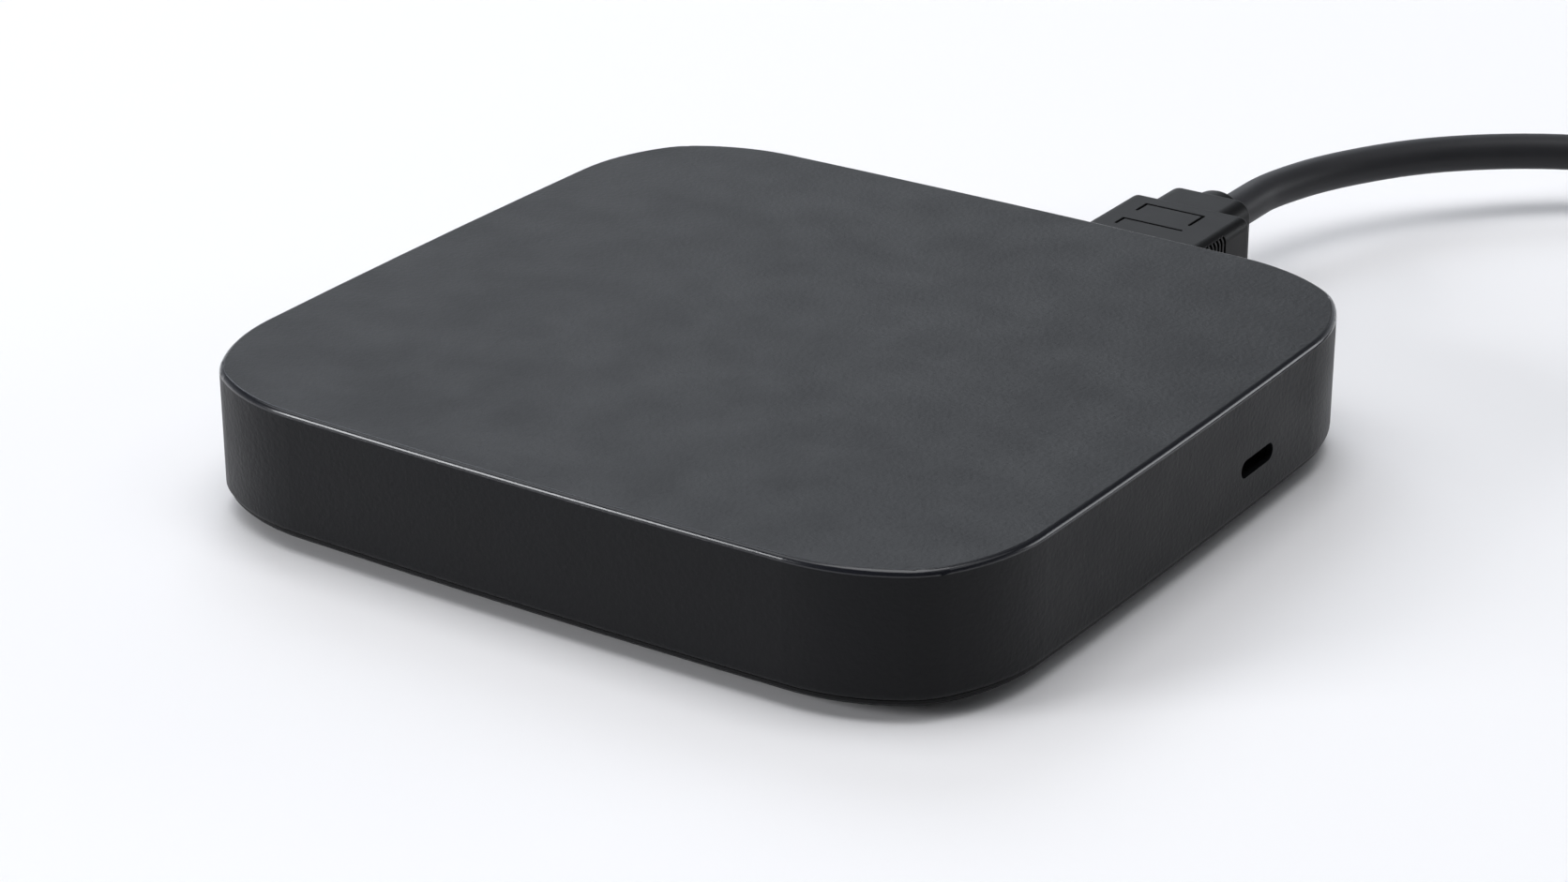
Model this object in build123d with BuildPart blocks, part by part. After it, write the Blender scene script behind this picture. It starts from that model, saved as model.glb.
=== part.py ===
from build123d import *
import math
import os

# Streaming box with its video lead plugged in.
# Origin: on the surface it stands on, under the middle of the box.
# +X is the side with the small port, +Y is the rear, +Z is up. Millimetres.

os.makedirs("parts", exist_ok=True)

# Body outline and height
body_width = 121.6
body_depth = 116.6
feet_height = 2.0
quarter_turn = 90
side_turn = 1.34
corner_turn = 31.8
corner_radius = 27.5
corner_tip_radius = 12.8

# Housing
wall = 2.0
top_wall = 2.0
top_edge_radius = 0.8
rim_edge_radius = 1.0
post_radius = 3.2
post_side_gap = 18.0
pilot_depth = 8.0

# Base cover
base_inset = 0.6
base_reveal = 0.9
base_wall = 1.8
base_edge = 0.5
fit_gap = 0.15
lip_wall = 1.2
lip_height = 1.6
boss_radius = 4.5
boss_height = 2.0
vent_count = 9
vent_width = 1.6
vent_length = 26.0
vent_pitch = 4.0

# Feet and screws
foot_radius = 6.0
foot_recess = 0.8
foot_edge = 0.4
foot_gap = 0.15
screw_radius = 1.25
screw_head_radius = 2.3
screw_head_height = 1.5
screw_reach = 7.5
screw_play = 0.2
thread_play = 0.05
board_screw_radius = 0.9
board_screw_head_radius = 1.9
board_screw_head_height = 1.3

# Main board
board_inset = 5.0
board_wall = 1.6
standoff_height = 2.2
standoff_radius = 2.5
post_hole_gap = 0.5
front_screw_x = 30.0
front_screw_margin = 7.5
side_screw_margin = 8.0
left_screw_y = 14.0
right_screw_y = -14.0

# Video socket and the plug in it
video_x = 17.3
video_height = 3.3
plug_shell_width = 13.9
plug_shell_height = 4.45
plug_shell_cut = 1.7
plug_shell_length = 11.2
plug_shell_root = 4.0
shell_sheet = 0.3
socket_play = 0.05
video_mouth_inset = 1.1
plug_tip_gap = 0.6
video_back_wall = 2.2
tongue_width = 11.2
tongue_wall = 1.0
tongue_mouth_gap = 1.0
tongue_contact_inset = 1.0
slot_side_play = 0.2
slot_end_play = 0.8
insert_play = 0.02
contact_width = 0.45
contact_pitch = 1.0
upper_contact_count = 10
lower_contact_count = 9
socket_contact_wall = 0.1
plug_contact_wall = 0.27
contact_gap = 0.08
leg_wall = 0.3
leg_width = 1.6
leg_play = 0.2
leg_foot = 0.6
leg_front_depth = 6.6
leg_rear_depth = 11.2
socket_wall_gap = 0.2

# Plug grip
grip_gap = 0.7
grip_width = 19.6
grip_height = 11.0
grip_length = 21.8
grip_corner_radius = 1.6
grip_end_radius = 1.0
neck_width = 13.8
neck_height = 10.9
neck_length = 5.9
neck_corner_radius = 2.4
neck_end_radius = 0.7
rib_count = 7
rib_pitch = 1.0
rib_width = 0.55
rib_depth = 0.8
rib_start = 7.85
rib_margin = 0.6
frame_length = 6.9
frame_width = 9.4
frame_start = 11.4
frame_hook = 2.3
frame_break = 2.9
frame_offset = -0.8
groove_width = 0.5
groove_depth = 0.35

# Video lead
cord_radius = 2.8
relief_length = 3.3
relief_radius = 5.0
relief_end_radius = 1.0
cord_sides = 10
coil_x = 110.0
coil_y = 128.4
coil_radius = 39.6
coil_side_gap = 0.6
coil_layer_gap = 0.5
coil_layer_turns = 2
coil_least_gap = 0.4
floor_gap = 0.02
tie_width = 6.0
tie_wall = 0.5
tie_slack = 0.15
tail_level = 16.0
tail_slope = 20.0
tail_end = 12.0

# Small port in the side wall
usb_y = 18.8
usb_plug_width = 8.25
usb_plug_height = 2.4
usb_opening_side_play = 0.37
usb_opening_top_play = 0.05
usb_side_play = 0.045
usb_top_play = 0.13
usb_sheet = 0.3
usb_depth = 7.3
usb_lip = 1.1
usb_pocket_gap = 0.3
usb_face_gap = 0.1
usb_tongue_width = 6.69
usb_tongue_wall = 0.7
usb_tongue_gap = 0.6
usb_back_wall = 1.6
usb_contact_count = 12
usb_contact_pitch = 0.5
usb_contact_width = 0.25
usb_contact_wall = 0.06
usb_contact_length = 3.5

# Network jack
network_x = -12.0
jack_depth = 18.0
jack_side_wall = 2.1
jack_roof = 0.9
jack_top_gap = 1.65
jack_sheet = 0.25
jack_play = 0.05
jack_base_gap = 0.25
jack_mouth_inset = 1.1
jack_hole_gap = 0.2
jack_board_gap = 0.3
jack_tab_length = 2.4
jack_tab_width = 1.8
bay_width = 11.8
bay_height = 7.0
bay_depth = 13.5
bay_floor = 2.2
latch_width = 6.2
latch_height = 1.6
latch_tip_width = 3.2
latch_tip_height = 0.7
wire_count = 8
wire_pitch = 1.02
wire_width = 0.45
wire_wall = 0.35
wire_rise = 1.7
wire_run = 8.0
wire_inset = 3.4

# Reset button and its switch
button_x = -33.0
button_height = 2.1
button_radius = 1.7
button_play = 0.1
button_stand = 0.25
button_flange_radius = 2.5
button_flange_wall = 0.7
button_flange_gap = 0.1
button_stem_radius = 1.2
button_travel = 0.3
switch_width = 6.0
switch_depth = 3.4
switch_height = 3.9
plunger_width = 2.4
plunger_height = 1.4
plunger_stand = 1.0
plunger_play = 0.1
plunger_root = 0.7

# Parts on the main board
chip_side = 15.0
chip_height = 1.4
chip_lead = 4.0
chip_edge = 0.25
memory_size = (8.0, 12.4, 1.1)
memory_gap = 3.5
memory_pitch = 14.0
can_length = 46.0
can_width = 34.0
can_x = 4.0
can_rear_gap = 4.2
can_height = 2.0
can_sheet = 0.3
can_skirt = 1.4
can_play = 0.05
sink_pad_wall = 1.0
sink_pad_margin = 3.0
sink_base_wall = 1.6
sink_top_gap = 1.8
sink_fin_count = 10
sink_fin_wall = 1.0
sink_ear_reach = 6.0
sink_ear_width = 8.0
pin_reach = 4.0
pin_radius = 1.3
pin_head_radius = 2.6
pin_head_height = 1.2
pin_tip = 1.0
flash_size = (11.5, 13.0, 1.0)
flash_reach = 8.0
flash_rear = 2.0
power_chip_size = (6.0, 6.0, 0.9)
power_margin = 15.8
power_chip_rear = 8.0
inductor_side = 5.0
inductor_height = 3.0
inductor_edge = 1.0
inductor_pitch = 7.5
inductor_front = 0.5
can_cap_radius = 3.15
can_cap_height = 5.6
can_cap_foot = 6.6
can_cap_foot_wall = 1.0
can_cap_post_gap = 10.5
can_cap_pitch = 8.5
can_cap_front_gap = 10.0
small_cap_size = (1.6, 0.8, 0.8)
small_cap_pitch = 2.4
small_cap_front_gap = 5.0
small_cap_row_pitch = 14.0
small_cap_count = 4
crystal_size = (3.2, 2.5, 0.8)
crystal_reach = 5.0
crystal_front = 13.0
wifi_board_size = (13.0, 15.0, 0.8)
wifi_can_size = (12.2, 12.6, 1.5)
wifi_x = -30.0
wifi_margin = 21.5
antenna_length = 18.0
antenna_height = 5.0
antenna_sheet = 0.4
antenna_band = 1.5
antenna_leg = 1.2
antenna_leg_gap = 4.0
antenna_side_margin = 5.5
antenna_front_margin = 16.5
infrared_width = 5.4
infrared_depth = 4.0
infrared_height = 6.4
infrared_lens_radius = 2.0
infrared_lens_stand = 1.2
infrared_lift = 0.8
infrared_leg = 0.5
infrared_leg_pitch = 2.0
infrared_margin = 4.5
transformer_size = (13.0, 9.6, 3.6)
transformer_gap = 4.6
transformer_edge = 0.4

# Heights and places that follow from the sizes above
half_width = body_width / 2
half_depth = body_depth / 2
board_side = half_width - board_inset
board_front = board_inset - half_depth
jack_width = bay_width + 2 * jack_side_wall
jack_height = bay_floor + bay_height + latch_height + latch_tip_height + jack_roof
body_height = base_wall + jack_base_gap + jack_height + jack_top_gap + top_wall
base_z = feet_height
top_z = base_z + body_height
rim_z = base_z + base_reveal
inner_top_z = top_z - top_wall
base_top_z = base_z + base_wall
boss_top_z = base_top_z + boss_height
recess_z = base_z + foot_recess
screw_seat_z = recess_z + screw_head_height + thread_play
board_z = base_top_z + standoff_height
board_top_z = board_z + board_wall
video_z = board_top_z + video_height
usb_shell_width = usb_plug_width + 2 * (usb_side_play + usb_sheet)
usb_shell_height = usb_plug_height + 2 * (usb_top_play + usb_sheet)
usb_z = board_top_z + usb_shell_height / 2
usb_opening_width = usb_plug_width + 2 * usb_opening_side_play
usb_opening_height = usb_plug_height + 2 * usb_opening_top_play
button_z = board_top_z + button_height
post_x = half_width - post_side_gap
post_y = half_depth - post_side_gap
post_places = [(x, y) for x in (-post_x, post_x) for y in (-post_y, post_y)]
board_screw_places = [
    (-front_screw_x, board_front + front_screw_margin),
    (front_screw_x, board_front + front_screw_margin),
    (side_screw_margin - board_side, left_screw_y),
    (board_side - side_screw_margin, right_screw_y),
]
can_top_z = board_top_z + can_height + can_sheet
sink_z = can_top_z + sink_pad_wall
sink_height = inner_top_z - sink_top_gap - sink_z
video_mouth_y = half_depth - video_mouth_inset
plug_front_y = half_depth + grip_gap
video_socket_reach = plug_shell_length - plug_front_y + video_mouth_y + plug_tip_gap
video_socket_depth = video_socket_reach + video_back_wall + shell_sheet
video_contact_rows = [(upper_contact_count, 1), (lower_contact_count, -1)]
slot_height = tongue_wall + 2 * (socket_contact_wall + contact_gap + plug_contact_wall)
tongue_tip_y = video_mouth_y - tongue_mouth_gap
socket_back_y = video_mouth_y - video_socket_depth
socket_block_y = socket_back_y + shell_sheet + video_back_wall
jack_mouth_y = half_depth - jack_mouth_inset
transformer_y = jack_mouth_y - jack_depth - transformer_gap - transformer_size[1] / 2
can_y = transformer_y - transformer_size[1] / 2 - can_rear_gap - can_width / 2
can_place = (can_x, can_y)
can_left = can_x - can_length / 2
can_right = can_x + can_length / 2
can_front = can_y - can_width / 2
chip_place = (can_x - chip_lead, can_y)
power_x = board_side - power_margin
inductor_y = can_y - inductor_front
jack_z = base_top_z + jack_base_gap
bay_z = jack_z + bay_floor


def corner_reach(inset):
    """How far a corner's three arcs reach along each side."""
    start = math.radians(side_turn)
    end = start + math.radians(corner_turn)
    wide = (corner_radius - inset) * (math.sin(end) - math.sin(start) + math.cos(start) - math.cos(end))
    return wide + (corner_tip_radius - inset) * (math.cos(end) - math.sin(end))


def side_radii(inset):
    """Radii of the bowed front and side walls that join the corners smoothly."""
    lean = math.sin(math.radians(side_turn))
    sag = 1 - math.cos(math.radians(side_turn))
    across = half_width - inset - corner_reach(inset)
    along = half_depth - inset - corner_reach(inset)
    scale = lean**2 - sag**2
    return (across * lean - along * sag) / scale, (along * lean - across * sag) / scale


def body_face(inset, mode=Mode.ADD):
    """The body's outline moved inwards by inset, as a face in the open sketch."""
    front, side = side_radii(inset)
    wide = (corner_radius - inset, corner_turn)
    tip = (corner_tip_radius - inset, quarter_turn - 2 * (side_turn + corner_turn))
    corner = [wide, tip, wide]
    arcs = [(front, side_turn)] + corner + [(side, 2 * side_turn)] + corner
    arcs += [(front, 2 * side_turn)] + corner + [(side, 2 * side_turn)] + corner
    arcs += [(front, side_turn)]
    with BuildLine() as outline:
        point = Vector(0, inset - half_depth)
        heading = 0.0
        for radius, turn in arcs:
            direction = (math.cos(math.radians(heading)), math.sin(math.radians(heading)))
            arc = JernArc(start=point, tangent=direction, radius=radius, arc_size=turn)
            point = arc @ 1
            heading += turn
    make_face(outline.edges(), mode=mode)


def rear_wall_y(x):
    """Outer face of the bowed rear wall at x."""
    radius = side_radii(0)[0]
    return half_depth - radius + math.sqrt(radius**2 - x**2)


def video_face(grow, mode=Mode.ADD):
    """The video plug's outline with its two cut lower corners, moved outwards by grow."""
    right = plug_shell_width / 2 + grow
    top = plug_shell_height / 2 + grow
    cut = plug_shell_cut + (2 - math.sqrt(2)) * grow
    Polygon(
        (-right, top),
        (-right, cut - top),
        (cut - right, -top),
        (right - cut, -top),
        (right, cut - top),
        (right, top),
        align=None,
        mode=mode,
    )


def rear_plane(y):
    """Upright plane at y, with X to the right, Z up and its normal towards the front."""
    return Plane.XZ.offset(-y)


# Housing: one moulding with the top, the walls and four screw posts

with BuildPart() as top_housing:
    with BuildSketch(Plane.XY.offset(rim_z)):
        body_face(0)
    extrude(amount=top_z - rim_z)
    fillet(top_housing.faces().sort_by(Axis.Z)[-1].edges(), top_edge_radius)
    fillet(top_housing.faces().sort_by(Axis.Z)[0].edges(), rim_edge_radius)
    with BuildSketch(Plane.XY.offset(rim_z)):
        body_face(wall)
    extrude(amount=inner_top_z - rim_z, mode=Mode.SUBTRACT)
    with BuildSketch(Plane.XY.offset(boss_top_z)):
        with Locations(*post_places):
            Circle(post_radius)
    extrude(amount=inner_top_z - boss_top_z)
    with BuildSketch(Plane.XY.offset(boss_top_z)):
        with Locations(*post_places):
            Circle(screw_radius + thread_play)
    extrude(amount=pilot_depth, mode=Mode.SUBTRACT)
    with BuildSketch(rear_plane(half_depth + wall)):
        with Locations((video_x, video_z)):
            video_face(socket_play + shell_sheet + socket_wall_gap)
        with Locations((network_x, jack_z + jack_height / 2)):
            Rectangle(jack_width + 2 * jack_hole_gap, jack_height + 2 * jack_hole_gap)
        with Locations((button_x, button_z)):
            Circle(button_radius + button_play)
    extrude(amount=3 * wall, mode=Mode.SUBTRACT)
    with BuildSketch(Plane.YZ.offset(half_width - 2 * wall)):
        with Locations((usb_y, usb_z)):
            SlotOverall(usb_opening_width, usb_opening_height)
    extrude(amount=3 * wall, mode=Mode.SUBTRACT)
    with BuildSketch(Plane.YZ.offset(half_width - 2 * wall)):
        with Locations((usb_y, usb_z)):
            SlotOverall(usb_shell_width + 2 * usb_pocket_gap, usb_shell_height + 2 * usb_pocket_gap)
    extrude(amount=2 * wall - usb_lip, mode=Mode.SUBTRACT)
top_housing.part.label = "top_housing"
export_step(top_housing.part, "parts/top_housing.step")

# Base cover: plate, locating lip, board standoffs, screw bosses, foot recesses and vents

with BuildPart() as base_cover:
    with BuildSketch(Plane.XY.offset(base_z)):
        body_face(base_inset)
    extrude(amount=base_reveal)
    chamfer(base_cover.faces().sort_by(Axis.Z)[0].edges(), base_edge)
    with BuildSketch(Plane.XY.offset(base_z)):
        body_face(wall + fit_gap)
    extrude(amount=base_wall)
    with BuildSketch(Plane.XY.offset(base_top_z)):
        body_face(wall + fit_gap)
        body_face(wall + fit_gap + lip_wall, mode=Mode.SUBTRACT)
        with Locations((network_x, half_depth)):
            Rectangle(
                jack_width + 2 * jack_board_gap,
                2 * (wall + fit_gap + lip_wall + jack_board_gap),
                mode=Mode.SUBTRACT,
            )
    extrude(amount=lip_height)
    with BuildSketch(Plane.XY.offset(base_top_z)):
        with Locations(*post_places):
            Circle(boss_radius)
    extrude(amount=boss_height)
    with BuildSketch(Plane.XY.offset(base_top_z)):
        with Locations(*board_screw_places):
            Circle(standoff_radius)
    extrude(amount=standoff_height)
    with BuildSketch(Plane.XY.offset(board_z)):
        with Locations(*board_screw_places):
            Circle(board_screw_radius + thread_play)
    extrude(amount=-standoff_height, mode=Mode.SUBTRACT)
    with BuildSketch(Plane.XY.offset(base_z)):
        with Locations(*post_places):
            Circle(foot_radius + foot_gap)
    extrude(amount=foot_recess, mode=Mode.SUBTRACT)
    with BuildSketch(Plane.XY.offset(recess_z)):
        with Locations(*post_places):
            Circle(screw_head_radius + screw_play)
    extrude(amount=screw_seat_z - recess_z, mode=Mode.SUBTRACT)
    with BuildSketch(Plane.XY.offset(screw_seat_z)):
        with Locations(*post_places):
            Circle(screw_radius + screw_play)
    extrude(amount=boss_top_z - screw_seat_z, mode=Mode.SUBTRACT)
    with BuildSketch(Plane.XY.offset(base_z)):
        with GridLocations(vent_pitch, 1, vent_count, 1):
            SlotOverall(vent_length, vent_width, rotation=90)
    extrude(amount=base_wall, mode=Mode.SUBTRACT)
base_cover.part.label = "base_cover"
export_step(base_cover.part, "parts/base_cover.step")

with BuildPart() as rubber_feet:
    with BuildSketch(Plane.XY):
        with Locations(*post_places):
            Circle(foot_radius)
    extrude(amount=recess_z)
    chamfer(rubber_feet.faces().group_by(Axis.Z)[0].edges(), foot_edge)
rubber_feet.part.label = "rubber_feet"
export_step(rubber_feet.part, "parts/rubber_feet.step")

with BuildPart() as case_screws:
    with BuildSketch(Plane.XY.offset(screw_seat_z)):
        with Locations(*post_places):
            Circle(screw_head_radius)
    extrude(amount=-screw_head_height)
    with BuildSketch(Plane.XY.offset(screw_seat_z)):
        with Locations(*post_places):
            Circle(screw_radius)
    extrude(amount=screw_reach)
case_screws.part.label = "case_screws"
export_step(case_screws.part, "parts/case_screws.step")

# Main board with holes for the posts, screws, socket legs and the sunken network jack

leg_places = [
    (video_x + side * (plug_shell_width / 2 + socket_play + leg_wall / 2), video_mouth_y - depth)
    for side in (-1, 1)
    for depth in (leg_front_depth, leg_rear_depth)
]
pin_places = [(can_left - pin_reach, can_place[1]), (can_right + pin_reach, can_place[1])]

with BuildPart() as main_board:
    with BuildSketch(Plane.XY.offset(board_z)):
        body_face(board_inset)
        with Locations(*post_places):
            Circle(post_radius + post_hole_gap, mode=Mode.SUBTRACT)
        with Locations(*board_screw_places):
            Circle(board_screw_radius + screw_play, mode=Mode.SUBTRACT)
        with Locations(*leg_places):
            Rectangle(leg_wall + 2 * leg_play, leg_width + 2 * leg_play, mode=Mode.SUBTRACT)
        with Locations(*pin_places):
            Circle(pin_radius + thread_play, mode=Mode.SUBTRACT)
        with Locations((network_x, jack_mouth_y - jack_depth / 2)):
            Rectangle(
                jack_width + 2 * jack_board_gap,
                jack_depth + 2 * jack_board_gap,
                mode=Mode.SUBTRACT,
            )
    extrude(amount=board_wall)
main_board.part.label = "main_board"
export_step(main_board.part, "parts/main_board.step")

with BuildPart() as board_screws:
    with BuildSketch(Plane.XY.offset(board_top_z)):
        with Locations(*board_screw_places):
            Circle(board_screw_head_radius)
    extrude(amount=board_screw_head_height)
    chamfer(board_screws.faces().group_by(Axis.Z)[-1].edges(), board_screw_head_height / 3)
    with BuildSketch(Plane.XY.offset(board_top_z)):
        with Locations(*board_screw_places):
            Circle(board_screw_radius)
    extrude(amount=-board_wall - standoff_height * 0.8)
board_screws.part.label = "board_screws"
export_step(board_screws.part, "parts/board_screws.step")

# Processor, memory, shield, heat sink


def board_block(places, size, z=board_top_z):
    """Blocks of one size standing at z on the board, in the open part."""
    with BuildSketch(Plane.XY.offset(z)) as footprint:
        with Locations(*places):
            Rectangle(size[0], size[1])
    extrude(footprint.sketch, amount=size[2])


with BuildPart() as processor:
    board_block([chip_place], (chip_side, chip_side, chip_height))
    chamfer(processor.faces().sort_by(Axis.Z)[-1].edges(), chip_edge)
processor.part.label = "processor"
export_step(processor.part, "parts/processor.step")

memory_x = chip_place[0] + chip_side / 2 + memory_gap + memory_size[0] / 2
memory_places = [(memory_x, chip_place[1] + side * memory_pitch / 2) for side in (-1, 1)]

with BuildPart() as memory_chips:
    board_block(memory_places, memory_size)
memory_chips.part.label = "memory_chips"
export_step(memory_chips.part, "parts/memory_chips.step")

with BuildPart() as shield_frame:
    with BuildSketch(Plane.XY.offset(board_top_z)):
        with Locations(can_place):
            Rectangle(can_length, can_width)
            Rectangle(can_length - 2 * can_sheet, can_width - 2 * can_sheet, mode=Mode.SUBTRACT)
    extrude(amount=can_height)
shield_frame.part.label = "shield_frame"
export_step(shield_frame.part, "parts/shield_frame.step")

with BuildPart() as shield_lid:
    lid_grow = 2 * (can_sheet + can_play)
    with BuildSketch(Plane.XY.offset(can_top_z)):
        with Locations(can_place):
            Rectangle(can_length + lid_grow, can_width + lid_grow)
    extrude(amount=-can_sheet - can_skirt)
    with BuildSketch(Plane.XY.offset(can_top_z - can_sheet)):
        with Locations(can_place):
            Rectangle(can_length + 2 * can_play, can_width + 2 * can_play)
    extrude(amount=-can_skirt, mode=Mode.SUBTRACT)
    fillet(shield_lid.faces().sort_by(Axis.Z)[-1].edges(), can_sheet / 2)
shield_lid.part.label = "shield_lid"
export_step(shield_lid.part, "parts/shield_lid.step")

with BuildPart() as chip_pad:
    board_block(
        [chip_place],
        (chip_side - 2 * chip_edge, chip_side - 2 * chip_edge, can_height - chip_height),
        z=board_top_z + chip_height,
    )
chip_pad.part.label = "chip_pad"
export_step(chip_pad.part, "parts/chip_pad.step")

with BuildPart() as sink_pad:
    board_block(
        [can_place],
        (can_length - 2 * sink_pad_margin, can_width - 2 * sink_pad_margin, sink_pad_wall),
        z=can_top_z,
    )
sink_pad.part.label = "sink_pad"
export_step(sink_pad.part, "parts/sink_pad.step")

with BuildPart() as heat_sink:
    board_block([can_place], (can_length, can_width, sink_base_wall), z=sink_z)
    with BuildSketch(Plane.XY.offset(sink_z)):
        with Locations(can_place):
            SlotOverall(can_length + 2 * sink_ear_reach + sink_ear_width / 2, sink_ear_width)
    extrude(amount=sink_base_wall)
    with BuildSketch(Plane.XY.offset(sink_z)):
        with Locations(*pin_places):
            Circle(pin_radius + thread_play)
    extrude(amount=sink_base_wall, mode=Mode.SUBTRACT)
    with BuildSketch(Plane.XY.offset(sink_z + sink_base_wall)):
        with Locations(can_place):
            fin_pitch = (can_width - sink_fin_wall) / (sink_fin_count - 1)
            with GridLocations(1, fin_pitch, 1, sink_fin_count):
                Rectangle(can_length - 4 * sink_fin_wall, sink_fin_wall)
    extrude(amount=sink_height - sink_base_wall, taper=3)
heat_sink.part.label = "heat_sink"
export_step(heat_sink.part, "parts/heat_sink.step")

with BuildPart() as sink_pins:
    with BuildSketch(Plane.XY.offset(sink_z + sink_base_wall)):
        with Locations(*pin_places):
            Circle(pin_head_radius)
    extrude(amount=pin_head_height, taper=15)
    with BuildSketch(Plane.XY.offset(sink_z + sink_base_wall)):
        with Locations(*pin_places):
            Circle(pin_radius)
    extrude(amount=board_z - pin_tip - sink_z - sink_base_wall)
sink_pins.part.label = "sink_pins"
export_step(sink_pins.part, "parts/sink_pins.step")

# The other parts soldered to the board

with BuildPart() as flash_chip:
    board_block([(can_left - pin_reach - flash_reach, can_y + flash_rear)], flash_size)
flash_chip.part.label = "flash_chip"
export_step(flash_chip.part, "parts/flash_chip.step")

with BuildPart() as power_chip:
    board_block([(power_x, can_y + power_chip_rear)], power_chip_size)
power_chip.part.label = "power_chip"
export_step(power_chip.part, "parts/power_chip.step")

inductor_places = [
    (power_x, inductor_y),
    (power_x, inductor_y - inductor_pitch),
    (power_x - inductor_pitch, inductor_y - 2 * inductor_pitch),
]

with BuildPart() as power_inductors:
    with BuildSketch(Plane.XY.offset(board_top_z)):
        with Locations(*inductor_places):
            RectangleRounded(inductor_side, inductor_side, inductor_edge)
    extrude(amount=inductor_height)
    chamfer(power_inductors.faces().group_by(Axis.Z)[-1].edges(), inductor_edge / 4)
power_inductors.part.label = "power_inductors"
export_step(power_inductors.part, "parts/power_inductors.step")

can_cap_places = [
    (post_x + can_cap_pitch / 4, post_y - can_cap_post_gap),
    (post_x - can_cap_pitch * 3 / 4, post_y - can_cap_post_gap),
    (can_right + can_cap_radius, can_front - can_cap_front_gap),
]

with BuildPart() as power_capacitors:
    board_block(can_cap_places, (can_cap_foot, can_cap_foot, can_cap_foot_wall))
    with BuildSketch(Plane.XY.offset(board_top_z + can_cap_foot_wall)):
        with Locations(*can_cap_places):
            Circle(can_cap_radius)
    extrude(amount=can_cap_height - can_cap_foot_wall)
    chamfer(power_capacitors.faces().group_by(Axis.Z)[-1].edges(), can_cap_radius / 10)
power_capacitors.part.label = "power_capacitors"
export_step(power_capacitors.part, "parts/power_capacitors.step")

with BuildPart() as small_capacitors:
    with BuildSketch(Plane.XY.offset(board_top_z)):
        with Locations((can_place[0], can_front - small_cap_front_gap)):
            with GridLocations(small_cap_row_pitch, 1, small_cap_count, 1):
                with GridLocations(small_cap_pitch, 1, small_cap_count, 1):
                    Rectangle(small_cap_size[1], small_cap_size[0])
    extrude(amount=small_cap_size[2])
small_capacitors.part.label = "small_capacitors"
export_step(small_capacitors.part, "parts/small_capacitors.step")

with BuildPart() as crystal:
    board_block([(can_left - crystal_reach, can_y - crystal_front)], crystal_size)
    fillet(crystal.edges().filter_by(Axis.Z), crystal_size[2] / 2)
crystal.part.label = "crystal"
export_step(crystal.part, "parts/crystal.step")

wifi_place = (wifi_x, board_front + wifi_margin)

with BuildPart() as wifi_module:
    board_block([wifi_place], wifi_board_size)
    board_block([wifi_place], wifi_can_size, z=board_top_z + wifi_board_size[2])
wifi_module.part.label = "wifi_module"
export_step(wifi_module.part, "parts/wifi_module.step")

with BuildPart() as antennas:
    for antenna_side in (-1, 1):
        with BuildSketch(Plane.YZ.offset(antenna_side * (board_side - antenna_side_margin))):
            with Locations((board_front + antenna_front_margin, board_top_z)):
                Rectangle(antenna_length, antenna_height, align=(Align.MIN, Align.MIN))
                with Locations((antenna_leg, 0)):
                    Rectangle(
                        antenna_leg_gap,
                        antenna_height - antenna_band,
                        align=(Align.MIN, Align.MIN),
                        mode=Mode.SUBTRACT,
                    )
                with Locations((2 * antenna_leg + antenna_leg_gap, 0)):
                    Rectangle(
                        antenna_length,
                        antenna_height - antenna_band,
                        align=(Align.MIN, Align.MIN),
                        mode=Mode.SUBTRACT,
                    )
        extrude(amount=antenna_sheet / 2, both=True)
antennas.part.label = "antennas"
export_step(antennas.part, "parts/antennas.step")

infrared_y = board_front + infrared_margin

with BuildPart() as ir_receiver:
    board_block(
        [(0, infrared_y)],
        (infrared_width, infrared_depth, infrared_height),
        z=board_top_z + infrared_lift,
    )
    lens_z = board_top_z + infrared_lift + infrared_height / 2
    with BuildSketch(rear_plane(infrared_y - infrared_depth / 2)):
        with Locations((0, lens_z)):
            Circle(infrared_lens_radius)
    extrude(amount=infrared_lens_stand, taper=20)
    with BuildSketch(Plane.XY.offset(board_top_z)):
        with Locations((0, infrared_y)):
            with GridLocations(infrared_leg_pitch, 1, 3, 1):
                Rectangle(infrared_leg, infrared_leg)
    extrude(amount=infrared_lift)
ir_receiver.part.label = "ir_receiver"
export_step(ir_receiver.part, "parts/ir_receiver.step")

with BuildPart() as network_transformer:
    board_block([(network_x, transformer_y)], transformer_size)
    chamfer(network_transformer.faces().sort_by(Axis.Z)[-1].edges(), transformer_edge)
network_transformer.part.label = "network_transformer"
export_step(network_transformer.part, "parts/network_transformer.step")

# Video socket: sheet shell, insulator with its tongue, contacts on both sides of the tongue

with BuildPart() as video_socket_shell:
    with BuildSketch(rear_plane(video_mouth_y)):
        with Locations((video_x, video_z)):
            video_face(socket_play + shell_sheet)
    extrude(amount=video_socket_depth)
    with BuildSketch(rear_plane(video_mouth_y)):
        with Locations((video_x, video_z)):
            video_face(socket_play)
    extrude(amount=video_socket_depth - shell_sheet, mode=Mode.SUBTRACT)
    with BuildSketch(Plane.XY.offset(board_z - leg_foot)):
        with Locations(*leg_places):
            Rectangle(leg_wall, leg_width)
    extrude(amount=video_z + leg_foot - board_z)
video_socket_shell.part.label = "video_socket_shell"
export_step(video_socket_shell.part, "parts/video_socket_shell.step")

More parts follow.
